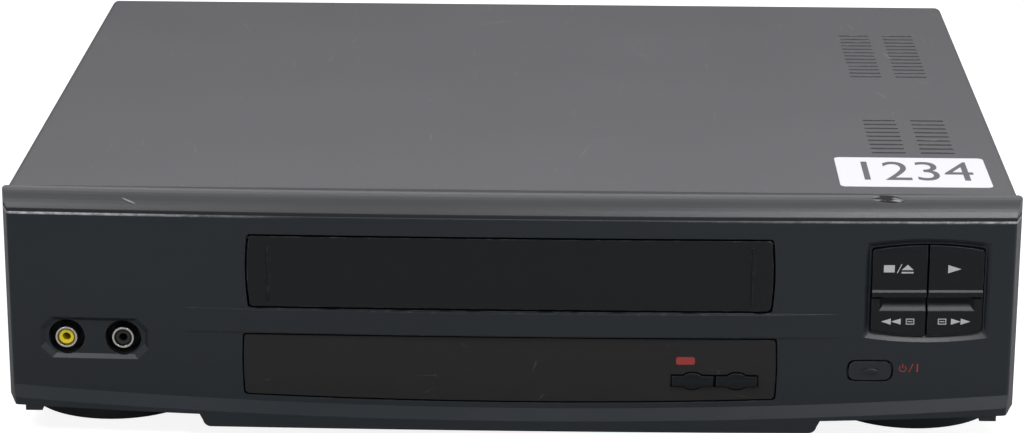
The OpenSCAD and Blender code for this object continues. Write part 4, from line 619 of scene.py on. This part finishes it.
class RECORDER_OT_inside(RecorderPiece, bpy.types.Operator):
    """Finish the boards, the power supply, the carriage and the tape transport"""

    bl_idname = "recorder.inside"
    bl_label = "Inside finishes"

    def execute(self, context):
        self.electronics()
        self.transport()
        return {"FINISHED"}

    def electronics(self):
        black = moulding("socket_moulding", (0.014, 0.014, 0.016), rough=0.48, grain=0.4, depth=0.01)
        dress(black, "jack_block", "av_sockets", "mains_inlet")
        dress(lens("display_glass", (0.03, 0.05, 0.055)), "display_module")
        green = laminate("green_laminate", (0.035, 0.12, 0.045), copper=(0.06, 0.2, 0.06), mask=0.7)
        dress(green, "main_board", "front_board")
        dress(laminate("tan_laminate", (0.32, 0.2, 0.085), copper=(0.22, 0.13, 0.05), mask=0.6), "power_board")
        part = moulding("component_black", (0.012, 0.012, 0.013), rough=0.5, grain=0.3, depth=0.01)
        dress(part, "board_parts", "push_switches")
        dress(sheet("nickel_shell", (0.6, 0.59, 0.56), rough=0.22, brush=EVEN), "aerial_sockets")
        core = layered("core_laminations", (0.12, 0.125, 0.13), pitch=0.5, depth=0.08, metal=0.6, rough=0.55)
        dress(core, "transformer_core")
        winding = layered("copper_winding", (0.42, 0.16, 0.05), pitch=0.45, depth=0.1, metal=0.7, rough=0.34)
        dress(winding, "transformer_winding")
        dress(sheet("plain_aluminium", (0.7, 0.71, 0.72), rough=0.32, brush=(1, 1, 0.05)), "heat_sink")
        sleeve = moulding("blue_sleeve", (0.02, 0.035, 0.12), rough=0.25, grain=2, depth=0.01, level=0.5)
        dress(sleeve, "capacitors")
        cable = layered("flat_cable", (0.55, 0.55, 0.5), pitch=1.27, depth=0.1, metal=0, rough=0.4, along=0)
        dress(cable, "flat_cable")

    def transport(self):
        plate = sheet("zinc_plate", (0.55, 0.56, 0.58))
        dress(plate, "tuner_can", "mech_deck", "carriage_left", "carriage_right", "carriage_bridge", "cassette_holder")
        dress(turned("drum_metal", (0.8, 0.8, 0.81), rough=0.12, pitch=0.16), "lower_drum", "upper_drum")
        dress(turned("wheel_steel", (0.5, 0.5, 0.52), rough=0.26), "drum_rotor", "capstan")
        pale = {"rough": 0.38, "grain": 0.5, "depth": 0.006, "level": 0.45, "soft": 0.15}
        acetal = moulding("natural_acetal", (0.66, 0.64, 0.58), **pale)
        dress(acetal, "rack_slides", "pinion_shaft", "supply_reel", "takeup_reel", "loading_cam", "loading_pinion")
        dark = moulding("dark_acetal", (0.03, 0.032, 0.036), rough=0.4, grain=0.4, depth=0.006, level=0.4)
        dress(dark, "clutch_pulley")
        dress(rubber("ground_rubber", (0.02, 0.02, 0.021)), "idler_wheel", "pinch_roller", "drive_belt")
        dress(turned("guide_brass", (0.6, 0.43, 0.17), rough=0.28), "supply_guide", "takeup_guide")
        lever = sheet("lever_steel", (0.52, 0.53, 0.54), rough=0.3)
        dress(lever, "idler_arm", "pinch_arm", "tension_arm", "drive_motors")
        dress(sheet("head_shield", (0.42, 0.43, 0.45), rough=0.24), "tape_heads")
        dress(sheet("screw_zinc", (0.62, 0.52, 0.3), rough=0.3, brush=EVEN), "deck_screws")


class RECORDER_OT_key_marks(RecorderPiece, bpy.types.Operator):
    """Print the plain transport symbols on the four block keys"""

    bl_idname = "recorder.key_marks"
    bl_label = "Key symbols"

    def execute(self, context):
        grey = ink("grey_ink", self.colours.marks)
        upper, lower = 69.3, 48.7  # the middles of the two rows of symbols, in mm
        symbols = {
            "stop_eject": [
                block(138.5, 68.0, 142.5, 70.8),
                leaning(143.3, 67.7, 144.9, 71.2, 0.35),
                up_arrow(147.3, 68.9, 71.0, 2.2),
                block(145.1, 67.6, 149.5, 68.2),
            ],
            "play": [arrow(167.2, 162.3, upper, 1.6)],
            "rewind": [
                arrow(138.2, 141.8, lower, 1.2),
                arrow(141.9, 145.5, lower, 1.2),
                *window_box(149.0, lower),
            ],
            "fast_forward": [
                arrow(167.8, 164.2, lower, 1.2),
                arrow(171.4, 167.8, lower, 1.2),
                *window_box(160.9, lower),
            ],
        }
        for key, outlines in symbols.items():
            face = Face("front", key + "_key")
            laid(key + "_mark", face, outlines, self.sizes.ink, grey, key)
        return {"FINISHED"}


class RECORDER_OT_red_marks(RecorderPiece, bpy.types.Operator):
    """Print the red standby symbol beside its key and the red patch over the record key"""

    bl_idname = "recorder.red_marks"
    bl_label = "Red symbols"

    def execute(self, context):
        red = ink("red_ink", self.colours.red_marks)
        thick = self.sizes.ink
        panel = Face("front", "front_panel")
        standby = [
            *broken_ring(147.0, 30.1, radius=1.4, wide=0.32),
            block(146.83, 30.3, 147.17, 32.0),
            leaning(149.2, 28.7, 150.6, 31.9, 0.35),
            block(152.2, 28.7, 152.7, 31.9),
        ]
        laid("standby_mark", panel, standby, thick, red, "chassis")
        window = Face("front", "display_window")
        record = [round_box(62.3, 31.2, 69.3, 34.2, radius=0.9)]
        laid("record_mark", window, record, thick, red, "chassis")
        return {"FINISHED"}


class RECORDER_OT_label(RecorderPiece, bpy.types.Operator):
    """Stick a plain numbered paper label on the cover"""

    bl_idname = "recorder.label"
    bl_label = "Numbered label"

    def execute(self, context):
        s = self.sizes
        cover = Face("top", "top_cover")
        middle_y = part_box("top_cover")[0].y / MM + s.label_y
        half_w, half_d = s.label_width / 2, s.label_depth / 2
        sides = (s.label_x - half_w, middle_y - half_d, s.label_x + half_w, middle_y + half_d)
        white = paper("label_paper", self.colours.label)
        laid("label", cover, [round_box(*sides, s.label_corner)], s.label_thick, white, "chassis")
        self.digits(cover.at(s.label_x, middle_y, s.label_thick + DIGIT_LIFT))
        return {"FINISHED"}

    def digits(self, place):
        """The label's number, drawn narrow and tall to fill the paper."""
        text = bpy.data.curves.new("label_digits", "FONT")
        text.body = f"{self.sizes.number:04d}"
        text.size = self.sizes.digit_size * MM
        text.extrude = DIGIT_HALF_THICK * MM
        text.align_x = "CENTER"
        text.align_y = "CENTER"
        text.resolution_u = 5
        text.materials.append(ink("label_ink", self.colours.digits, wear=0.15))
        digits = bpy.data.objects.new("label_digits", text)
        bpy.context.scene.collection.objects.link(digits)
        digits.matrix_world = Matrix.Translation(place) @ Matrix.Diagonal((*DIGIT_STRETCH, 1, 1))
        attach(digits, "chassis")


class RECORDER_OT_stage(RecorderPiece, bpy.types.Operator):
    """Set up the floor, the soft light and the camera"""

    bl_idname = "recorder.stage"
    bl_label = "Stage"

    def execute(self, context):
        scene = bpy.context.scene
        scene.view_settings.view_transform = "Standard"
        self.floor()
        self.world(scene)
        for lamp in LAMPS:
            self.lamp(*lamp)
        self.camera(scene)
        return {"FINISHED"}

    def floor(self):
        """A pale floor just under the feet, which the camera sees as white."""
        mesh = bmesh.new()
        bmesh.ops.create_grid(mesh, x_segments=1, y_segments=1, size=FLOOR_HALF)
        bmesh.ops.translate(mesh, vec=(0, 0, -FLOOR_GAP * MM), verts=mesh.verts)
        data = bpy.data.meshes.new("floor")
        mesh.to_mesh(data)
        mesh.free()
        f = Finish(
            "floor_white", Roughness=0.95, Specular_IOR_Level=0.1, Base_Color=FLOOR_COLOUR, Emission_Strength=FLOOR_GLOW
        )
        seen = f.out(f.node("ShaderNodeLightPath"), "Is Camera Ray")
        f.feed(Emission_Color=f.tint((1, 1, 1), seen))
        data.materials.append(f.material)
        floor = bpy.data.objects.new("floor", data)
        bpy.context.scene.collection.objects.link(floor)

    def world(self, scene):
        """White behind the recorder, and a dim room in what it reflects."""
        world = bpy.data.worlds.new("studio")
        world.use_nodes = True
        tree = world.node_tree
        tree.nodes.clear()
        out = tree.nodes.new("ShaderNodeOutputWorld")
        mix = tree.nodes.new("ShaderNodeMixShader")
        path = tree.nodes.new("ShaderNodeLightPath")
        seen = Wire(tree, path.outputs["Is Camera Ray"])
        for slot, shade in ((1, ROOM_COLOUR), (2, (1, 1, 1, 1))):
            back = tree.nodes.new("ShaderNodeBackground")
            back.inputs["Color"].default_value = shade
            tree.links.new(back.outputs[0], mix.inputs[slot])
        tree.links.new(seen.socket, mix.inputs[0])
        tree.links.new(mix.outputs[0], out.inputs["Surface"])
        scene.world = world

    def lamp(self, name, place, wide, deep, power):
        """A soft box that faces the recorder."""
        light = bpy.data.lights.new(name, "AREA")
        light.shape = "RECTANGLE"
        light.size, light.size_y = wide, deep
        light.energy = power
        lamp = bpy.data.objects.new(name, light)
        lamp.location = place
        lamp.rotation_euler = (Vector(LAMP_AIM) - Vector(place)).to_track_quat("-Z", "Y").to_euler()
        bpy.context.scene.collection.objects.link(lamp)

    def camera(self, scene):
        """The photograph's own viewpoint: a long lens, a little above the recorder."""
        data = bpy.data.cameras.new("camera")
        data.lens = CAMERA_LENS
        data.sensor_width = CAMERA_SENSOR
        data.clip_end = 20
        camera = bpy.data.objects.new("camera", data)
        placed = Matrix.Translation(CAMERA_PLACE)
        for degrees, axis in CAMERA_TURNS:
            placed = placed @ Matrix.Rotation(math.radians(degrees), 4, axis)
        camera.matrix_world = placed
        scene.collection.objects.link(camera)
        scene.camera = camera


class RECORDER_PT_panel(bpy.types.Panel):
    """The recorder's pieces and their settings"""

    bl_label = "Recorder"
    bl_space_type = "VIEW_3D"
    bl_region_type = "UI"
    bl_category = "Recorder"

    def draw(self, context):
        for group in (context.scene.recorder_colours, context.scene.recorder_sizes):
            column = self.layout.column(align=True)
            for name in group.__annotations__:
                column.prop(group, name)
        for piece in PIECES:
            self.layout.operator(piece.bl_idname)


PIECES = (
    RECORDER_OT_case,
    RECORDER_OT_front,
    RECORDER_OT_inside,
    RECORDER_OT_key_marks,
    RECORDER_OT_red_marks,
    RECORDER_OT_label,
    RECORDER_OT_stage,
)


def register():
    for made in (RecorderColours, RecorderSizes, *PIECES, RECORDER_PT_panel):
        bpy.utils.register_class(made)
    bpy.types.Scene.recorder_colours = bpy.props.PointerProperty(type=RecorderColours)
    bpy.types.Scene.recorder_sizes = bpy.props.PointerProperty(type=RecorderSizes)


def unregister():
    del bpy.types.Scene.recorder_sizes
    del bpy.types.Scene.recorder_colours
    for made in (RECORDER_PT_panel, *reversed(PIECES), RecorderSizes, RecorderColours):
        bpy.utils.unregister_class(made)


def main():
    register()
    for piece in PIECES:
        group, name = piece.bl_idname.split(".")
        getattr(getattr(bpy.ops, group), name)()


if __name__ == "__main__":
    main()
